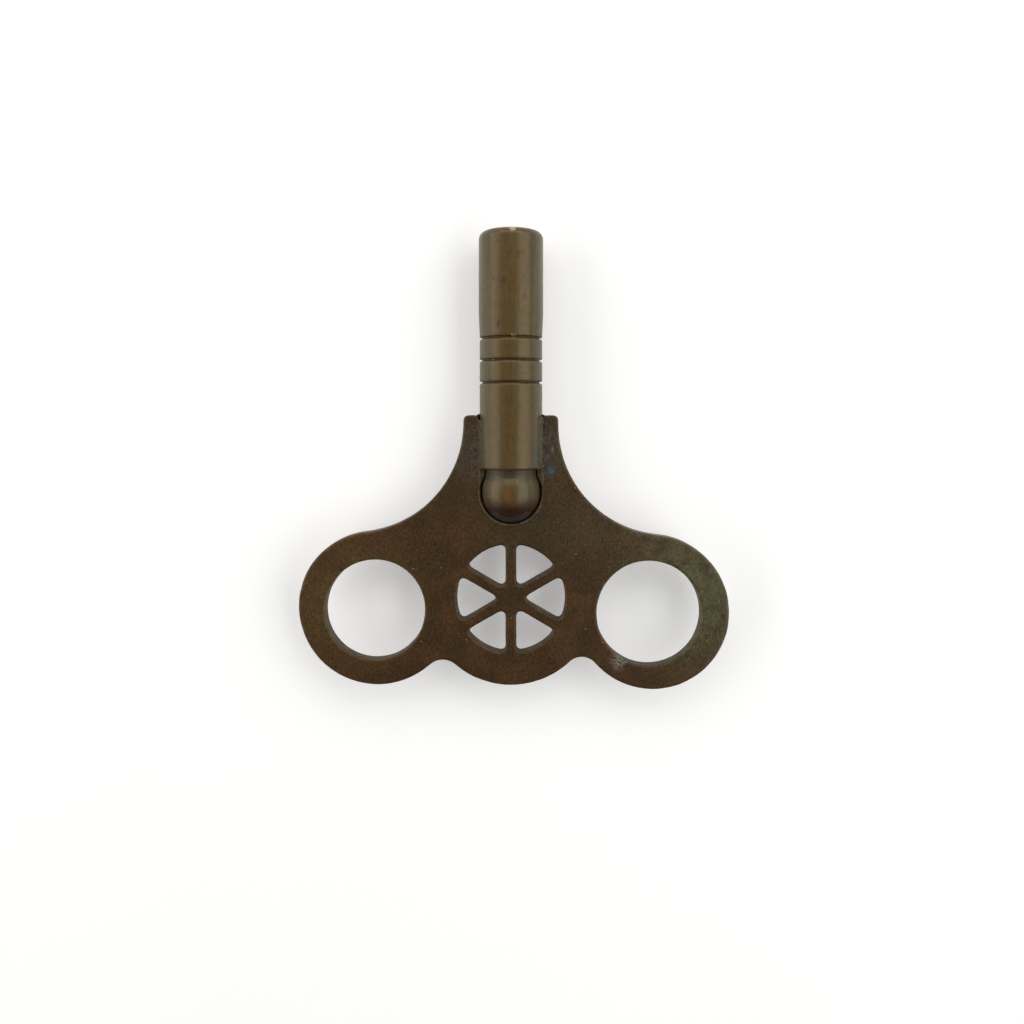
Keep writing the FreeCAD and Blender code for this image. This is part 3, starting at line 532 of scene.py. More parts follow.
def make_bow(material):
    """The sawn and filed plate: its CAD outline with worn edges, nicks and faces that aren't quite flat."""
    loops = [even_loop(points, OUTLINE_STEP) for points in outline_loops(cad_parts["bow"])]
    largest = max(range(len(loops)), key=lambda i: abs(signed_area(loops[i])))
    for i, loop in enumerate(loops):
        if (signed_area(loop) > 0) != (i == largest):
            loops[i] = loop[::-1]

    rows = 2 * len(EDGE_TURNS) + len(WALL_LEVELS)
    vertices, faces, wear, grime_and_shading, gap_shade = [], [], [], [], []
    rims = {True: [], False: []}
    for number, loop in enumerate(loops):
        ahead, behind = np.roll(loop, -1, axis=0), np.roll(loop, 1, axis=0)
        along = (ahead - behind) / np.linalg.norm(ahead - behind, axis=1)[:, None]
        outward = np.column_stack([along[:, 1], -along[:, 0]])
        first_turn = np.arctan2(*(loop - behind).T[::-1])
        next_turn = np.arctan2(*(ahead - loop).T[::-1])
        bending = (next_turn - first_turn + math.pi) % (2 * math.pi) - math.pi
        tightest = OUTLINE_STEP / np.maximum(bending, 1e-3)

        start, count = len(vertices), len(loop)
        for (x, y), (out_x, out_y), limit in zip(loop, outward, tightest):
            for point, *values in edge_column(x, y, out_x, out_y, limit, number == largest):
                vertices.append(point)
                for layer, value in zip((wear, grime_and_shading, gap_shade), values):
                    layer.append(value)
        for i in range(count):
            here, there = start + i * rows, start + (i + 1) % count * rows
            faces += [(here + k, there + k, there + k + 1, here + k + 1) for k in range(rows - 1)]
        rims[True].append([start + i * rows for i in range(count)])
        rims[False].append([start + i * rows + rows - 1 for i in range(count)])

    for front in (True, False):
        fill_face(vertices, faces, wear, rims[front], front)
    spare = [0.0] * (len(vertices) - len(grime_and_shading))
    layers = {"wear": wear, "grime_and_shading": grime_and_shading + spare, "gap_shade": gap_shade + spare}
    make_piece("bow_plate", "bow", vertices, faces, material, **layers)


def inside(points, loops):
    """Which points lie in the plate: they cross its loops an odd number of times."""
    odd = np.zeros(len(points), bool)
    x, y = points[:, 0], points[:, 1]
    for loop in loops:
        for (ax, ay), (bx, by) in zip(loop, np.roll(loop, -1, axis=0)):
            if ay == by:
                continue
            crosses = (ay > y) != (by > y)
            odd ^= crosses & (x < (bx - ax) * (y - ay) / (by - ay) + ax)
    return odd


def fill_face(vertices, faces, wear, rims, front):
    """Fill one face of the plate between its rims with small triangles, and give it relief."""
    loops = [np.array([vertices[i][:2] for i in rim]) for rim in rims]
    edge = np.vstack(loops)
    tree = kdtree.KDTree(len(edge))
    for i, (x, y) in enumerate(edge):
        tree.insert((x, y, 0), i)
    tree.balance()
    draw = random.Random(SEED + front)
    low, high = edge.min(0), edge.max(0)
    spots = []
    row_height = FACE_STEP * math.sqrt(3) / 2
    for i in range(math.ceil((high[1] - low[1]) / row_height)):
        for j in range(math.ceil((high[0] - low[0]) / FACE_STEP)):
            x = low[0] + (j + 0.5 * (i % 2)) * FACE_STEP + draw.uniform(-0.25, 0.25) * FACE_STEP
            y = low[1] + i * row_height + draw.uniform(-0.25, 0.25) * FACE_STEP
            spots.append((x, y))
    spots = np.array(spots)
    spots = spots[inside(spots, loops)]
    spots = [spot for spot in spots if tree.find((*spot, 0))[2] > 0.6 * FACE_STEP]

    numbers = [i for rim in rims for i in rim]
    start = len(vertices)
    level = HALF_PLATE if front else -HALF_PLATE
    for x, y in spots:
        numbers.append(len(vertices))
        vertices.append((x, y, level))
        away = tree.find((x, y, 0))[2]
        wear.append(0.3 * math.exp(-away / 0.25))
    flat = [Vector(vertices[i][:2]) for i in numbers]
    ties, first = [], 0
    for rim in rims:
        ties += [(first + i, first + (i + 1) % len(rim)) for i in range(len(rim))]
        first += len(rim)
    _, _, triangles, sources, _, _ = geometry.delaunay_2d_cdt(flat, ties, [], 0, 1e-6)
    corners = np.array([[sources[i][0] for i in triangle] for triangle in triangles])
    table = np.array([tuple(spot) for spot in flat])
    kept = corners[inside(table[corners].mean(1), loops)]
    faces += [tuple(numbers[i] for i in corner) for corner in kept.tolist()]
    for i in range(start, len(vertices)):
        x, y, z = vertices[i]
        fade = min(1.0, tree.find((x, y, 0))[2] / 0.6)
        vertices[i] = (x, y, z - math.copysign(face_relief(x, y, front) * fade, z))


# ---- solder


def make_crumb(vertices, faces, spot, size, draw):
    """One small crumb of solder, a lumpy ball sunk in the surface that it sits on."""
    around, levels = 9, 5
    first = len(vertices)
    for i in range(levels):
        tilt = math.pi * (i + 1) / (levels + 1)
        for j in range(around):
            turn = 2 * math.pi * j / around
            reach = size * draw.uniform(0.8, 1.15)
            vertices.append((
                spot[0] + reach * math.sin(tilt) * math.cos(turn),
                spot[1] + 1.3 * reach * math.sin(tilt) * math.sin(turn),
                spot[2] + 0.7 * reach * math.cos(tilt),
            ))
    faces += loft(first, levels, around)
    for ring, z in ((0, 0.7), (levels - 1, -0.7)):
        vertices.append((spot[0], spot[1], spot[2] + z * size))
        faces += cap([first + ring * around + j for j in range(around)], len(vertices) - 1)


def beside_core(core, height):
    """How far across the barrel's surface is at a height, less the depth that the solder is sunk."""
    return math.sqrt(max(core**2 - height**2, 0.1)) - SUNK


def seam_half(seam, drop, core, thin, end, level):
    """A seam's section on the front (level 1) or the back (-1), and how dark its points are, as painted shade
    in the groove beside the ball.

    Thin goes from 0 for the full fillet to 1 for the wedge beside the ball, and end from 0 to 1
    away from the seam's start.
    """
    key = seam.side * 7.0 + level * 3.0
    sway = 1 + 0.4 * seam.roughness * fbm((drop * 0.8, key, 0.0))
    top = HALF_PLATE + max(0.02, seam.climb * sway * end) * (1 - thin)
    top -= 0.05 * thin * (1 + fbm((drop * 2, key, 9.0)))
    spread = 0.13 * seam.roughness * (1 - thin) + 0.05 * thin
    foot = NOTCH_HALF + seam.reach * (1 - thin) + 0.03 * thin
    foot += spread * fbm((drop * 1.3, key, 4.0))
    inner = beside_core(core, top)
    clear = 0.15 + 0.23 * ramp(drop, SHOULDER, seam.last) ** 2
    section, dark = [], []
    for k in range(SEAM_STEPS + 1):
        s = k / SEAM_STEPS
        across = inner + (foot - inner) * s
        height = top + (HALF_PLATE - SUNK - top) * (1.25 * s - 0.25 * s * s)
        lump = 0.11 * seam.roughness * (0.5 + fbm((drop * 1.9, across * 1.9, key), 5))
        height += lump * math.sin(math.pi * s) * (1 - thin)
        # A groove beside the ball, painted dark as the gap's shade.
        groove = thin * (1 - ramp(across - inner, clear, clear + 0.07))
        section.append((across, (height - 0.55 * groove) * level))
        dark.append(groove)
    for height in (HALF_PLATE - 0.16, 0.3):
        section.append((NOTCH_HALF - 0.01, height * level))
        dark.append(0.0)
    return section, dark


def make_seam(seam, material):
    """A seam that fills the notch beside the barrel, climbs it front and back and runs out as a wedge."""
    vertices, bright, gap_shade = [], [], []
    length = seam.last - seam.first
    for i in range(SEAM_STATIONS + 1):
        t = i / SEAM_STATIONS
        drop = seam.first + length * t
        thin = ramp(drop, SHOULDER - 0.05, SHOULDER + 0.2)
        core = core_radius(drop)
        end = min(1.0, (1.5 * t * (1 + 0.3 * fbm((drop * 2, seam.side, 1.0))) * length) ** 0.6)
        front, front_dark = seam_half(seam, drop, core, thin, end, 1)
        back, back_dark = seam_half(seam, drop, core, thin, end, -1)
        loop = front + back[::-1]
        front_top, back_top = front[0][1], back[0][1]
        for k in range(1, SEAM_WALL_STEPS):
            height = back_top + (front_top - back_top) * k / SEAM_WALL_STEPS
            loop.append((beside_core(core, height), height))
        rows = len(loop)
        vertices += [(x * seam.side, -drop, z) for x, z in loop]
        # The outermost of the fillet's points, front and back, are bare where the solder is thin.
        edge = [0.0] * (SEAM_STEPS - 2) + [thin] * 3 + [0.0] * 2
        bright += edge + edge[::-1] + [0.0] * (SEAM_WALL_STEPS - 1)
        # The groove beside the ball, and the wall against the barrel where the seam is thin, are painted dark
        # as the gap's shade.
        gap_shade += front_dark + back_dark[::-1] + [thin] * (SEAM_WALL_STEPS - 1)
    count = len(vertices)
    faces = loft(0, SEAM_STATIONS + 1, rows)
    for start in (0, count - rows):
        ring = np.array(vertices[start:start + rows])
        vertices.append(tuple(ring.mean(0)))
        faces += cap(list(range(start, start + rows)), len(vertices) - 1)
    solid = len(vertices)
    draw = random.Random(SEED + seam.side)
    for _ in range(seam.crumbs):
        across, drop = draw.uniform(3.2, 4.2), seam.first + 0.2 + 6.2 * draw.random() ** 1.6
        height = math.sqrt(LOWER_RADIUS**2 - across**2) if across < 3.72 else HALF_PLATE
        spot = (across * seam.side, -drop, height * draw.choice((1, 1, -1)))
        make_crumb(vertices, faces, spot, 0.035 + 0.09 * draw.random() ** 2, draw)
    spare = [0.0] * (len(vertices) - count)
    crumb = [0.0] * solid + [1.0] * (len(vertices) - solid)
    layers = {"wear": bright + spare, "crumb": crumb, "gap_shade": gap_shade + spare}
    make_piece(f"seam_{seam.name}", f"solder_{seam.name}", vertices, faces, material, **layers)


# ---- materials


def rgb(red, green, blue):
    """An opaque colour, in linear light."""
    return (red, green, blue, 1.0)


# A place where the look changes: its middle, its radius, and how many times narrower it is across
# the key and along it.
Place = namedtuple("Place", "x drop z radius narrow_x narrow_y", defaults=(1.0, 1.0))
# How far a place's edge wanders, as a share of its radius.
RAGGED = 1.2
BUMP_DISTANCE = 0.02 * MM

# bow: base tones
BROWN = rgb(0.050, 0.0248, 0.0066)
LEFT_LOBE, LEFT_BROWN = Place(-21.0, 44.5, 0, 13.0), rgb(0.085, 0.0490, 0.0130)
RED_BROWN = rgb(0.065, 0.0303, 0.0085)
CENTRE, CENTRE_BROWN = Place(2.0, 37.5, 0, 8.0), rgb(0.043, 0.029, 0.010)
RIGHT_LOBE = Place(24.0, 43.0, 0, 15.0)
OLIVE_DARK, OLIVE_LIGHT = rgb(0.056, 0.047, 0.020), rgb(0.086, 0.075, 0.032)
GREY_OLIVE_PLACES = (Place(0.0, 31.5, 1.0, 6.5), Place(9.0, 36.0, 1.0, 6.5))
GREY_OLIVE = rgb(0.058, 0.045, 0.020)
EARS, EAR_TONE = (Place(-5.4, 27.0, 1.0, 5.6, 1.5), Place(5.4, 27.0, 1.0, 5.6, 1.5)), rgb(0.064, 0.050, 0.026)
# bow: what soldering left behind
RESIDUE = (Place(-4.2, 27.0, 1.0, 1.3, 1.0, 0.26), Place(4.3, 27.0, 1.0, 1.5, 1.0, 0.28))
SMEAR_DARK, SMEAR_LIGHT = rgb(0.036, 0.027, 0.016), rgb(0.080, 0.066, 0.047)
STRAY_CRUMBS, CRUMB_TONE = Place(0.0, 32.0, 1.0, 7.0), rgb(0.16, 0.145, 0.105)
# bow: wear, walls with painted light, and painted shade in the seat's gap
BOW_BRASS = rgb(0.22, 0.18, 0.10)
WALL_DARK, WALL_LIGHT = rgb(0.062, 0.056, 0.034), rgb(0.092, 0.092, 0.062)
# Painted shade in the seat's gap.
SEAT_GAP_SHADE = rgb(0.016, 0.012, 0.008)
# bow: marks
SPECK_TONE = rgb(0.42, 0.33, 0.20)
CLUSTER, CLUSTER_TONE = Place(-8.0, 39.8, 1.0, 4.5), rgb(0.34, 0.27, 0.17)
SCRATCHES, SCRATCH_TONE = Place(22.0, 39.5, 1.0, 4.5), rgb(0.15, 0.13, 0.07)
PIT_TONE = rgb(0.016, 0.012, 0.007)
HALO, HALO_TONE = Place(5.0, 29.6, 1.0, 1.0), rgb(0.050, 0.062, 0.060)
VERDIGRIS = (Place(5.05, 29.65, 1.0, 0.44), Place(4.8, 29.3, 1.0, 0.34))
VERDIGRIS_TONE = rgb(0.062, 0.112, 0.130)
CHIP, CHIP_TONE = Place(5.1, 26.9, 1.0, 0.3, 1.6, 0.5), rgb(0.16, 0.14, 0.10)
BLOTS = (Place(26.0, 47.5, 1.0, 0.55), Place(23.9, 50.0, 1.0, 0.5), Place(23.2, 45.4, 1.0, 0.45))
BLOT_TONE = rgb(0.030, 0.022, 0.012)
SCUFF, SCUFF_TONE = Place(13.2, 53.0, 1.0, 1.35), rgb(0.24, 0.24, 0.20)
FLECKS, FLECK_TONE = Place(11.7, 51.0, 1.0, 1.2, 1.3, 0.8), rgb(0.016, 0.014, 0.011)

# barrel
BARREL_BROWN, BARREL_OLIVE = rgb(0.110, 0.063, 0.019), rgb(0.104, 0.076, 0.029)
BARREL_RED, BARREL_DARK = rgb(0.130, 0.066, 0.022), rgb(0.074, 0.058, 0.026)
SIDE_DARK, SIDE_LIGHT = rgb(0.064, 0.055, 0.028), rgb(0.094, 0.086, 0.040)
# A copper tint with a painted highlight in the ball's middle.
BALL_GLOW, GLOW_TONE = Place(-0.35, 32.3, 3.6, 1.0, 1.5, 0.62), rgb(0.175, 0.080, 0.030)
BALL_OLIVE, BALL_OLIVE_TONE = Place(1.9, 31.9, 2.9, 1.9), rgb(0.076, 0.069, 0.028)
# Painted shade under the ball, and the seat's painted reflection in it.
SHADOW_TONE, SEAT_REFLECTION_TONE = rgb(0.036, 0.014, 0.004), rgb(0.057, 0.053, 0.046)
COLLAR_TONE = rgb(0.058, 0.049, 0.027)
BARREL_BRASS, BARREL_GRIME = rgb(0.46, 0.37, 0.22), rgb(0.018, 0.013, 0.008)
BARREL_SPECK = rgb(0.022, 0.016, 0.010)
# Blots on top of the barrel: x, drop and radius.
BARREL_BLOTS = ((-0.8, 6.6, 0.672), (-1.5, 11.7, 0.72), (1.7, 8.4, 0.48), (1.1, 3.4, 0.64), (-2.1, 6.2, 0.4))
BARREL_BLOT_TONE = rgb(0.046, 0.026, 0.012)
STAIN, STAIN_TONE = Place(3.2, 27.4, 2.2, 1.3, 1.0, 0.6), rgb(0.050, 0.062, 0.054)

# solder
SOLDER_BROWN, SOLDER_GREY = rgb(0.056, 0.043, 0.021), rgb(0.086, 0.071, 0.042)
SOLDER_DARK, SOLDER_GLINT = rgb(0.026, 0.020, 0.012), rgb(0.23, 0.21, 0.15)
SOLDER_BARE, SOLDER_CRUMB = rgb(0.150, 0.118, 0.066), rgb(0.165, 0.152, 0.112)
WIPED, WIPED_TONE = Place(4.1, 26.0, 1.0, 2.4, 1.0, 0.5), rgb(0.130, 0.122, 0.088)
# The second tone is painted shade in the gap beside the ball.
SOLDER_DEEP, SOLDER_GAP_SHADE = rgb(0.068, 0.052, 0.028), rgb(0.012, 0.009, 0.006)


class Graph:
    """One material's nodes, and short ways to add them. A mask is a value from 0 to 1."""

    def __init__(self, name):
        self.material = bpy.data.materials.new(name)
        self.material.use_nodes = True
        self.tree = self.material.node_tree
        self.tree.nodes.clear()
        place = self.add("ShaderNodeTexCoord").outputs["Object"]
        self.place = self.stretch(place, (1 / MM,) * 3)
        self.ragged = self.noise(2.6, 5.0, 0.7)
        self.colour = None

    def add(self, kind, inputs=None, **settings):
        """A node with its inputs linked or set, and its settings."""
        node = self.tree.nodes.new(kind)
        for key, value in settings.items():
            setattr(node, key, value)
        for key, value in (inputs or {}).items():
            if isinstance(value, bpy.types.NodeSocket):
                self.tree.links.new(value, node.inputs[key])
            else:
                node.inputs[key].default_value = value
        return node

    def stretch(self, vector, scale, offset=(0, 0, 0)):
        inputs = {"Vector": vector, "Scale": scale, "Location": offset}
        return self.add("ShaderNodeMapping", inputs).outputs["Vector"]

    def noise(self, scale, detail=4.0, roughness=0.55, squeeze=None, offset=(0, 0, 0)):
        """Noise at a scale for each millimetre, finer along the axes that are squeezed."""
        vector = self.place if squeeze is None else self.stretch(self.place, squeeze, offset)
        inputs = {"Vector": vector, "Scale": scale, "Detail": detail, "Roughness": roughness}
        return self.add("ShaderNodeTexNoise", inputs).outputs["Fac"]

    def spots(self, scale, size, share, offset=None):
        """Round spots: 1 at their middle, on a share of the cells."""
        vector = self.place if offset is None else self.stretch(self.place, (1, 1, 1), offset)
        cells = self.add("ShaderNodeTexVoronoi", {"Vector": vector, "Scale": scale})
        near = self.span(cells.outputs["Distance"], size, 0.0)
        shade = self.add("ShaderNodeSeparateColor", {"Color": cells.outputs["Color"]})
        return self.times(near, self.maths("LESS_THAN", shade.outputs["Red"], share))

    def span(self, value, low, high, to_low=0.0, to_high=1.0):
        """Carries a value smoothly from one range to another, and holds it at the ends."""
        inputs = {"Value": value, "From Min": low, "From Max": high, "To Min": to_low, "To Max": to_high}
        node = self.add("ShaderNodeMapRange", inputs, interpolation_type="SMOOTHSTEP")
        return node.outputs["Result"]

    def maths(self, operation, first, second):
        inputs = {0: first, 1: second}
        return self.add("ShaderNodeMath", inputs, operation=operation).outputs["Value"]

    def times(self, first, second):
        return self.maths("MULTIPLY", first, second)

    def plus(self, first, second):
        return self.maths("ADD", first, second)

    def total(self, *terms):
        """The sum of terms, each given as a value and its weight."""
        result = None
        for value, weight in terms:
            part = self.times(value, abs(weight))
            operation = "SUBTRACT" if weight < 0 else "ADD"
            result = part if result is None else self.maths(operation, result, part)
        return result

    def blend(self, share, first, second, mode="MIX"):
        inputs = {0: share, 6: first, 7: second}
        settings = {"data_type": "RGBA", "blend_type": mode, "clamp_factor": True}
        return self.add("ShaderNodeMix", inputs, **settings).outputs[2]

    def paint(self, tone, mask, strength=1.0):
        """Lays a tone on the colour where the mask is 1, no stronger than a strength."""
        share = mask if strength == 1.0 else self.times(mask, strength)
        self.colour = self.blend(share, self.colour, tone)

    def shade(self, first, second):
        """Makes the colour lighter or darker by two values together."""
        self.colour = self.blend(1.0, self.colour, self.times(first, second), "MULTIPLY")

    def along(self, axis, low, high):
        """Rises from 0 to 1 between two places along an axis, in millimetres."""
        parts = self.add("ShaderNodeSeparateXYZ", {"Vector": self.place})
        return self.span(parts.outputs[axis], low, high)

    def attribute(self, name):
        return self.add("ShaderNodeAttribute", attribute_name=name).outputs["Fac"]

    def near(self, place):
        """1 in the middle of a place, fading to 0 at a ragged edge about one radius away."""
        offset = {0: self.place, 1: (-place.x, place.drop, -place.z)}
        centre = self.add("ShaderNodeVectorMath", offset, operation="ADD").outputs["Vector"]
        scaled = self.stretch(centre, (place.narrow_x, place.narrow_y, 1.0))
        length = self.add("ShaderNodeVectorMath", {0: scaled}, operation="LENGTH").outputs["Value"]
        sway = {0: self.ragged, 1: place.radius * RAGGED, 2: -place.radius * RAGGED / 2}
        ragged = self.add("ShaderNodeMath", sway, operation="MULTIPLY_ADD").outputs["Value"]
        return self.span(self.plus(length, ragged), place.radius, place.radius * 0.2)

    def finish(self, roughness, height, bump, settings):
        """The shader and its output, with the height as a bump of a given strength."""
        lifted = {"Height": height, "Strength": bump, "Distance": BUMP_DISTANCE}
        normal = self.add("ShaderNodeBump", lifted).outputs["Normal"]
        inputs = {"Base Color": self.colour, "Roughness": roughness, "Normal": normal}
        shader = self.add("ShaderNodeBsdfPrincipled", {**inputs, **settings})
        self.add("ShaderNodeOutputMaterial", {"Surface": shader.outputs["BSDF"]})
        return self.material


def bow_material():
    """Dark patina, brown at the left and the middle and olive at the right, worn thin on the edges."""
    graph = Graph("bow patina")
    patches = graph.noise(0.28, 4.0, 0.6)
    mottling = graph.noise(0.95, 6.0, 0.7)
    speckle = graph.noise(4.2, 3.0, 0.7, squeeze=(1.25, 0.7, 1))
    grain = graph.noise(1.0, 5.0, 0.6, squeeze=(6.5, 0.8, 3.0))
    grit = graph.noise(5.5, 5.0, 0.75)
    patchy = graph.noise(0.8, 5.0, 0.7)

    graph.colour = graph.blend(graph.near(LEFT_LOBE), BROWN, LEFT_BROWN)
    graph.paint(RED_BROWN, graph.span(patches, 0.42, 0.62))
    graph.paint(CENTRE_BROWN, graph.near(CENTRE), 0.8)
    smudges = graph.span(graph.noise(0.6, 5.0, 0.6, (1, 1, 1), (7, 2, 4)), 0.36, 0.58)
    graph.paint(graph.blend(smudges, OLIVE_DARK, OLIVE_LIGHT), graph.near(RIGHT_LOBE))
    mottled = graph.span(mottling, 0.36, 0.64, 0.89, 1.11)
    graph.shade(mottled, graph.span(patches, 0.35, 0.65, 0.94, 1.06))
    for place in GREY_OLIVE_PLACES:
        graph.paint(GREY_OLIVE, graph.near(place), 0.5)
    ears = graph.plus(*(graph.near(place) for place in EARS))
    graph.paint(EAR_TONE, ears, 0.75)

    residue = graph.plus(*(graph.near(place) for place in RESIDUE))
    smears = graph.span(graph.noise(1.7, 5.0, 0.7, (1, 0.7, 1), (5, 5, 1)), 0.4, 0.6)
    graph.paint(graph.blend(smears, SMEAR_DARK, SMEAR_LIGHT), residue, 0.75)
    crumbs = graph.times(residue, graph.span(grit, 0.54, 0.68))
    strays = graph.times(graph.near(STRAY_CRUMBS), graph.span(grit, 0.66, 0.76))
    crumbs = graph.maths("MAXIMUM", crumbs, strays)
    graph.paint(CRUMB_TONE, crumbs, 0.6)
    grained = graph.span(grain, 0.3, 0.7, 0.86, 1.14)
    graph.shade(grained, graph.span(speckle, 0.32, 0.68, 0.66, 1.34))

    worn = graph.plus(graph.attribute("wear"), graph.span(graph.noise(5.0, 4.0, 0.7), 0.3, 0.7, -0.4, 0.35))
    rubbed = graph.span(graph.plus(worn, graph.span(patchy, 0.3, 0.75, -0.6, 0.3)), 0.4, 1.2)
    graph.paint(BOW_BRASS, rubbed, 0.6)
    # The holes' walls are painted paler where they face the mouth, as painted light.
    lit_wall = graph.attribute("grime_and_shading")
    lit_wall_tones = graph.blend(graph.span(patchy, 0.4, 0.6), WALL_DARK, WALL_LIGHT)
    graph.paint(lit_wall_tones, lit_wall, 0.8)
    # The gap at the seat is painted dark as shade.
    graph.paint(SEAT_GAP_SHADE, graph.attribute("gap_shade"))

    specks = graph.spots(0.9, 0.105, 0.26)
    graph.paint(SPECK_TONE, specks, 0.85)
    cluster = graph.times(graph.spots(1.9, 0.17, 0.3), graph.near(CLUSTER))
    graph.paint(CLUSTER_TONE, cluster, 0.7)
    lines = graph.span(graph.noise(1.0, 2.0, 0.5, (0.28, 7.0, 1.0), (3, 9, 1)), 0.60, 0.68)
    graph.paint(SCRATCH_TONE, graph.times(lines, graph.near(SCRATCHES)), 0.5)
    pits = graph.spots(0.62, 0.15, 0.25, offset=(3.3, 1.7, 0.2))
    graph.paint(PIT_TONE, pits, 0.5)
    graph.paint(HALO_TONE, graph.near(HALO), 0.55)
    verdigris = graph.maths("MAXIMUM", *(graph.near(place) for place in VERDIGRIS))
    graph.paint(VERDIGRIS_TONE, verdigris, 0.75)
    graph.paint(CHIP_TONE, graph.near(CHIP))
    for place in BLOTS:
        graph.paint(BLOT_TONE, graph.near(place), 0.6)
    scratched = graph.span(graph.noise(3.4, 6.0, 0.8), 0.42, 0.6)
    graph.paint(SCUFF_TONE, graph.times(graph.near(SCUFF), scratched))
    flecks = graph.times(graph.near(FLECKS), graph.span(grit, 0.5, 0.6))
    graph.paint(FLECK_TONE, flecks, 0.8)

    roughness = graph.span(mottling, 0.3, 0.7, 0.5, 0.38)
    roughness = graph.plus(roughness, graph.span(speckle, 0.3, 0.7, -0.06, 0.06))
    roughness = graph.plus(roughness, graph.span(lit_wall, 0.15, 0.2, 0.0, 0.3))
    height = graph.total((grain, 0.5), (mottling, 0.9), (speckle, 0.35), (pits, -1.2), (specks, 0.5))
    height = graph.plus(height, graph.times(residue, graph.times(smears, 1.5)))
    height = graph.plus(height, graph.times(crumbs, 2.0))
    return graph.finish(roughness, height, 0.4, {"Metallic": 0.2, "IOR": 1.45})


def barrel_material():
    """Turned brass gone brown and olive, glossier than the bow, bare on the rim and the grooves' lips, where
    some spots are painted glints, with painted shade under the ball.
    """
    graph = Graph("barrel patina")
    streak = graph.noise(1.0, 5.0, 0.6, squeeze=(2.1, 0.10, 2.1))
    turning = graph.noise(1.0, 3.0, 0.55, squeeze=(0.25, 9.0, 0.25))
    mottling = graph.noise(0.6, 6.0, 0.68)
    speckle = graph.noise(3.2, 3.0, 0.7, squeeze=(1.6, 0.45, 1.6))
    patchy = graph.noise(1.1, 5.0, 0.7)

    graph.colour = graph.blend(graph.span(streak, 0.36, 0.64), BARREL_BROWN, BARREL_OLIVE)
    graph.paint(BARREL_RED, graph.span(mottling, 0.52, 0.74, 0.0, 0.8))
    graph.paint(BARREL_DARK, graph.span(mottling, 0.47, 0.28, 0.0, 0.8))
    sides = graph.plus(graph.along("X", 1.3, 3.0), graph.along("X", -1.3, -3.0))
    bands = graph.span(graph.noise(1.0, 4.0, 0.6, (3.2, 0.12, 0.2), (4, 2, 7)), 0.38, 0.62)
    graph.paint(graph.blend(bands, SIDE_DARK, SIDE_LIGHT), sides, 0.6)
    turned = graph.span(turning, 0.3, 0.7, 0.96, 1.04)
    graph.shade(turned, graph.span(speckle, 0.32, 0.68, 0.88, 1.12))

    ball = graph.along("Y", -30.4, -31.2)
    shadow = graph.attribute("shadow")
    # A copper tint with a painted highlight in the ball's middle.
    graph.paint(GLOW_TONE, graph.near(BALL_GLOW), 0.6)
    graph.paint(BALL_OLIVE_TONE, graph.near(BALL_OLIVE), 0.75)
    # Painted shade on the ball's underside, and the seat's painted reflection in it as a dull crescent.
    graph.paint(SHADOW_TONE, shadow)
    graph.paint(SEAT_REFLECTION_TONE, graph.attribute("seat_reflection"))
    collar = graph.times(graph.along("Y", -29.3, -29.8), graph.along("Y", -31.0, -30.4))
    graph.paint(COLLAR_TONE, collar, 0.8)

    # Bare brass where worn; the front rubs on the rim and by the grooves are also painted glints.
    worn = graph.plus(graph.attribute("wear"), graph.span(graph.noise(6.0, 4.0, 0.7), 0.3, 0.7, -0.45, 0.35))
    rubbed = graph.span(graph.plus(worn, graph.span(patchy, 0.3, 0.72, -0.5, 0.3)), 0.55, 1.3)
    graph.paint(BARREL_BRASS, rubbed, 0.85)
    # Grime in the hollows, with painted shade on the grooves' upper walls.
    grime_and_shading = graph.attribute("grime_and_shading")
    grime_and_groove_shade = graph.times(grime_and_shading, graph.span(patchy, 0.35, 0.6, 0.55, 0.9))
    graph.paint(BARREL_GRIME, grime_and_groove_shade)
    specks = graph.spots(0.5, 0.13, 0.4)
    graph.paint(BARREL_SPECK, specks, 0.7)
    for x, drop, radius in BARREL_BLOTS:
        blot = graph.near(Place(x, drop, math.sqrt(MOUTH_RADIUS**2 - x * x), radius))
        graph.paint(BARREL_BLOT_TONE, blot, 0.5)
    graph.paint(STAIN_TONE, graph.near(STAIN), 0.5)

    roughness = graph.span(mottling, 0.3, 0.7, 0.36, 0.30)
    roughness = graph.maths("SUBTRACT", roughness, graph.times(ball, 0.04))
    roughness = graph.plus(roughness, graph.times(grime_and_shading, 0.3))
    roughness = graph.plus(roughness, graph.times(shadow, 0.12))
    height = graph.total((turning, 0.25), (mottling, 0.8), (speckle, 0.3), (specks, -0.9))
    settings = {"Metallic": 0.2, "IOR": 1.45, "Specular IOR Level": 0.42}
    return graph.finish(roughness, height, 0.22, settings)


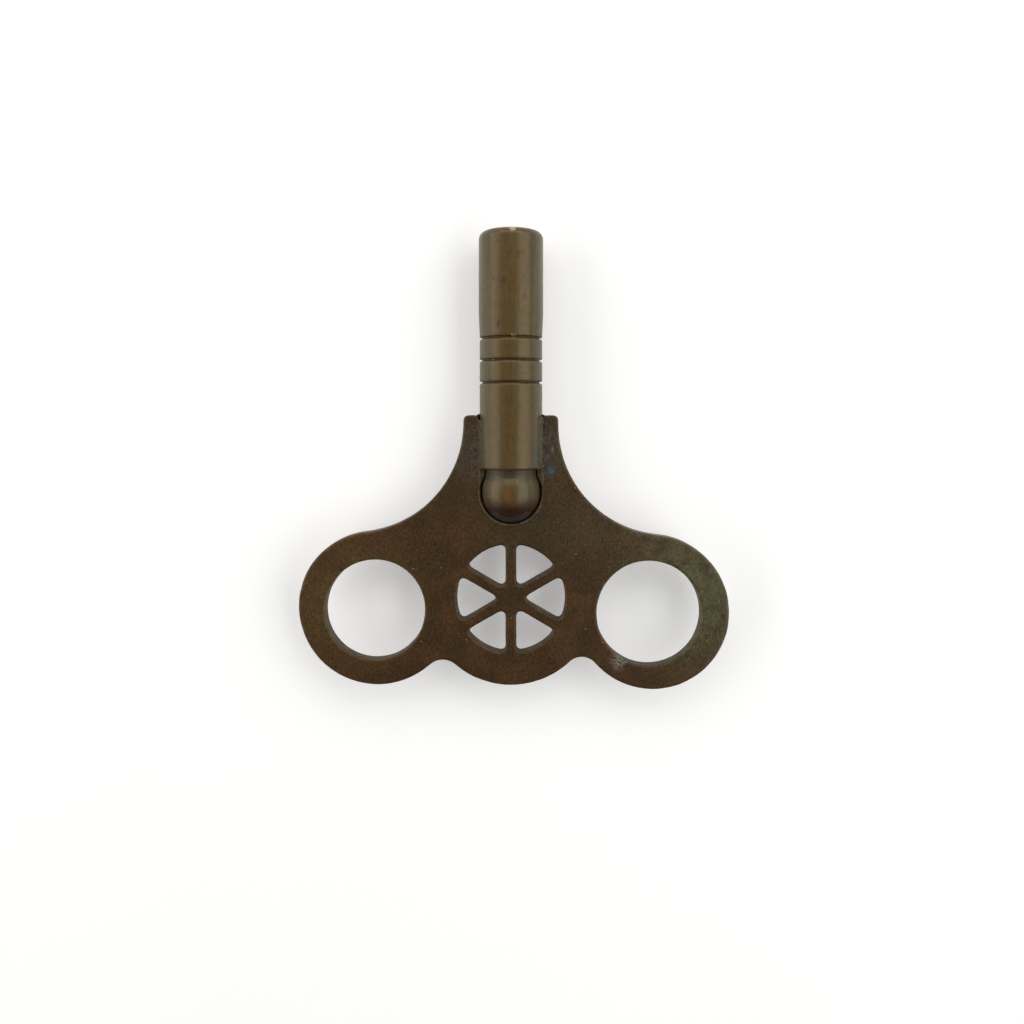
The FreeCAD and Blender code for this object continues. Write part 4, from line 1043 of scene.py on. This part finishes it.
def solder_material():
    """Old hard solder under the same dirt as the brass: grey-brown, crumbly, bright where it is thin, and
    painted dark as shade in the gap beside the ball.
    """
    graph = Graph("old solder")
    lumps = graph.noise(1.3, 6.0, 0.7)
    crumbs = graph.noise(6.5, 5.0, 0.7)
    thin = graph.attribute("wear")
    graph.colour = graph.blend(graph.span(lumps, 0.36, 0.64), SOLDER_BROWN, SOLDER_GREY)
    graph.paint(SOLDER_DARK, graph.span(crumbs, 0.44, 0.3))
    graph.paint(SOLDER_GLINT, graph.span(crumbs, 0.62, 0.76))
    graph.paint(SOLDER_BARE, graph.times(thin, graph.span(crumbs, 0.35, 0.6)))
    pale = graph.times(graph.attribute("crumb"), graph.span(crumbs, 0.3, 0.55, 0.3, 1.0))
    graph.paint(SOLDER_CRUMB, pale)
    graph.paint(WIPED_TONE, graph.near(WIPED), 0.4)
    below = graph.along("Y", -SHOULDER + 0.1, -SHOULDER - 0.3)
    deep = graph.times(below, graph.maths("SUBTRACT", 1.0, thin))
    graph.paint(SOLDER_DEEP, deep, 0.6)
    # The gap beside the ball is painted dark as shade.
    graph.paint(SOLDER_GAP_SHADE, graph.attribute("gap_shade"))
    roughness = graph.span(crumbs, 0.3, 0.7, 0.58, 0.42)
    height = graph.total((lumps, 1.1), (crumbs, 0.8))
    settings = {"Metallic": 0.2, "IOR": 1.45, "Specular IOR Level": 0.3}
    return graph.finish(roughness, height, 0.6, settings)


# ---- stage


def make_floor():
    """A plain pale sheet that the key lies on."""
    graph = Graph("pale sheet")
    graph.colour = graph.blend(graph.noise(0.02, 2.0), rgb(0.80, 0.80, 0.80), rgb(0.82, 0.82, 0.815))
    settings = {"IOR": 1.3, "Emission Color": rgb(1.0, 1.0, 1.0), "Emission Strength": 0.3}
    material = graph.finish(0.8, graph.noise(0.8, 3.0), 0.05, settings)
    mesh = bpy.data.meshes.new("floor")
    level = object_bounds()[0].z - 0.01 * MM
    corners = [(x * FLOOR_HALF, y * FLOOR_HALF, level) for x, y in ((-1, -1), (1, -1), (1, 1), (-1, 1))]
    mesh.from_pydata(corners, [], [(0, 1, 2, 3)])
    mesh.materials.append(material)
    floor = bpy.data.objects.new("floor", mesh)
    bpy.context.scene.collection.objects.link(floor)


def make_panel(name, tilt, bearing, size, radiance, tint):
    """A soft light. Tilt is its angle from straight overhead, and bearing is anticlockwise from +X."""
    down, round_about = math.radians(tilt), math.radians(bearing)
    flat = Vector((math.cos(round_about), math.sin(round_about), 0))
    direction = flat * math.sin(down) + Vector((0, 0, math.cos(down)))
    light = bpy.data.lights.new(name, "AREA")
    light.shape = "RECTANGLE"
    light.size, light.size_y = size
    light.energy = radiance * math.pi * size[0] * size[1]
    light.color = tint
    lamp = bpy.data.objects.new(name, light)
    lamp.location = KEY_CENTRE + direction * PANEL_DISTANCE
    lamp.rotation_euler = direction.to_track_quat("Z", "Y").to_euler()
    lamp.visible_camera = False
    bpy.context.scene.collection.objects.link(lamp)


def make_lights():
    """Soft panels left, right and beyond the key, in a room that is brighter beyond it."""
    make_panel("left", 64, 180, (0.70, 0.26), 1.9, (1.0, 0.99, 0.96))
    make_panel("right", 50, 0, (0.70, 0.30), 1.9, (1.0, 0.995, 0.97))
    make_panel("beyond", 50, 90, (0.40, 0.26), 1.7, (1.0, 0.99, 0.97))
    world = bpy.data.worlds.new("room")
    world.use_nodes = True
    tree = world.node_tree
    place = tree.nodes.new("ShaderNodeTexCoord")
    parts = tree.nodes.new("ShaderNodeSeparateXYZ")
    level = tree.nodes.new("ShaderNodeMapRange")
    level.interpolation_type = "SMOOTHSTEP"
    for key, value in {"From Min": -0.5, "From Max": 0.4, "To Min": 0.02, "To Max": 0.2}.items():
        level.inputs[key].default_value = value
    tree.links.new(place.outputs["Generated"], parts.inputs["Vector"])
    tree.links.new(parts.outputs["Y"], level.inputs["Value"])
    tree.links.new(level.outputs["Result"], tree.nodes["Background"].inputs["Color"])
    bpy.context.scene.world = world


def make_camera():
    """The photograph's camera, as its perspective on the barrel and the holes gives it."""
    camera = bpy.data.cameras.new("camera")
    camera.sensor_width = 36.0
    camera.lens = camera.sensor_width * CAMERA_HEIGHT / VIEW_WIDTH
    camera.shift_x, camera.shift_y = CAMERA_SHIFT
    camera.clip_start = 0.01
    thing = bpy.data.objects.new("camera", camera)
    thing.location = Vector((*CAMERA_FOOT, CAMERA_HEIGHT)) * MM
    bpy.context.scene.collection.objects.link(thing)
    bpy.context.scene.camera = thing


make_floor()
make_barrel(barrel_material())
make_bow(bow_material())
solder = solder_material()
for seam in SEAMS:
    make_seam(seam, solder)
make_lights()
make_camera()
bpy.context.scene.view_settings.view_transform = "Standard"
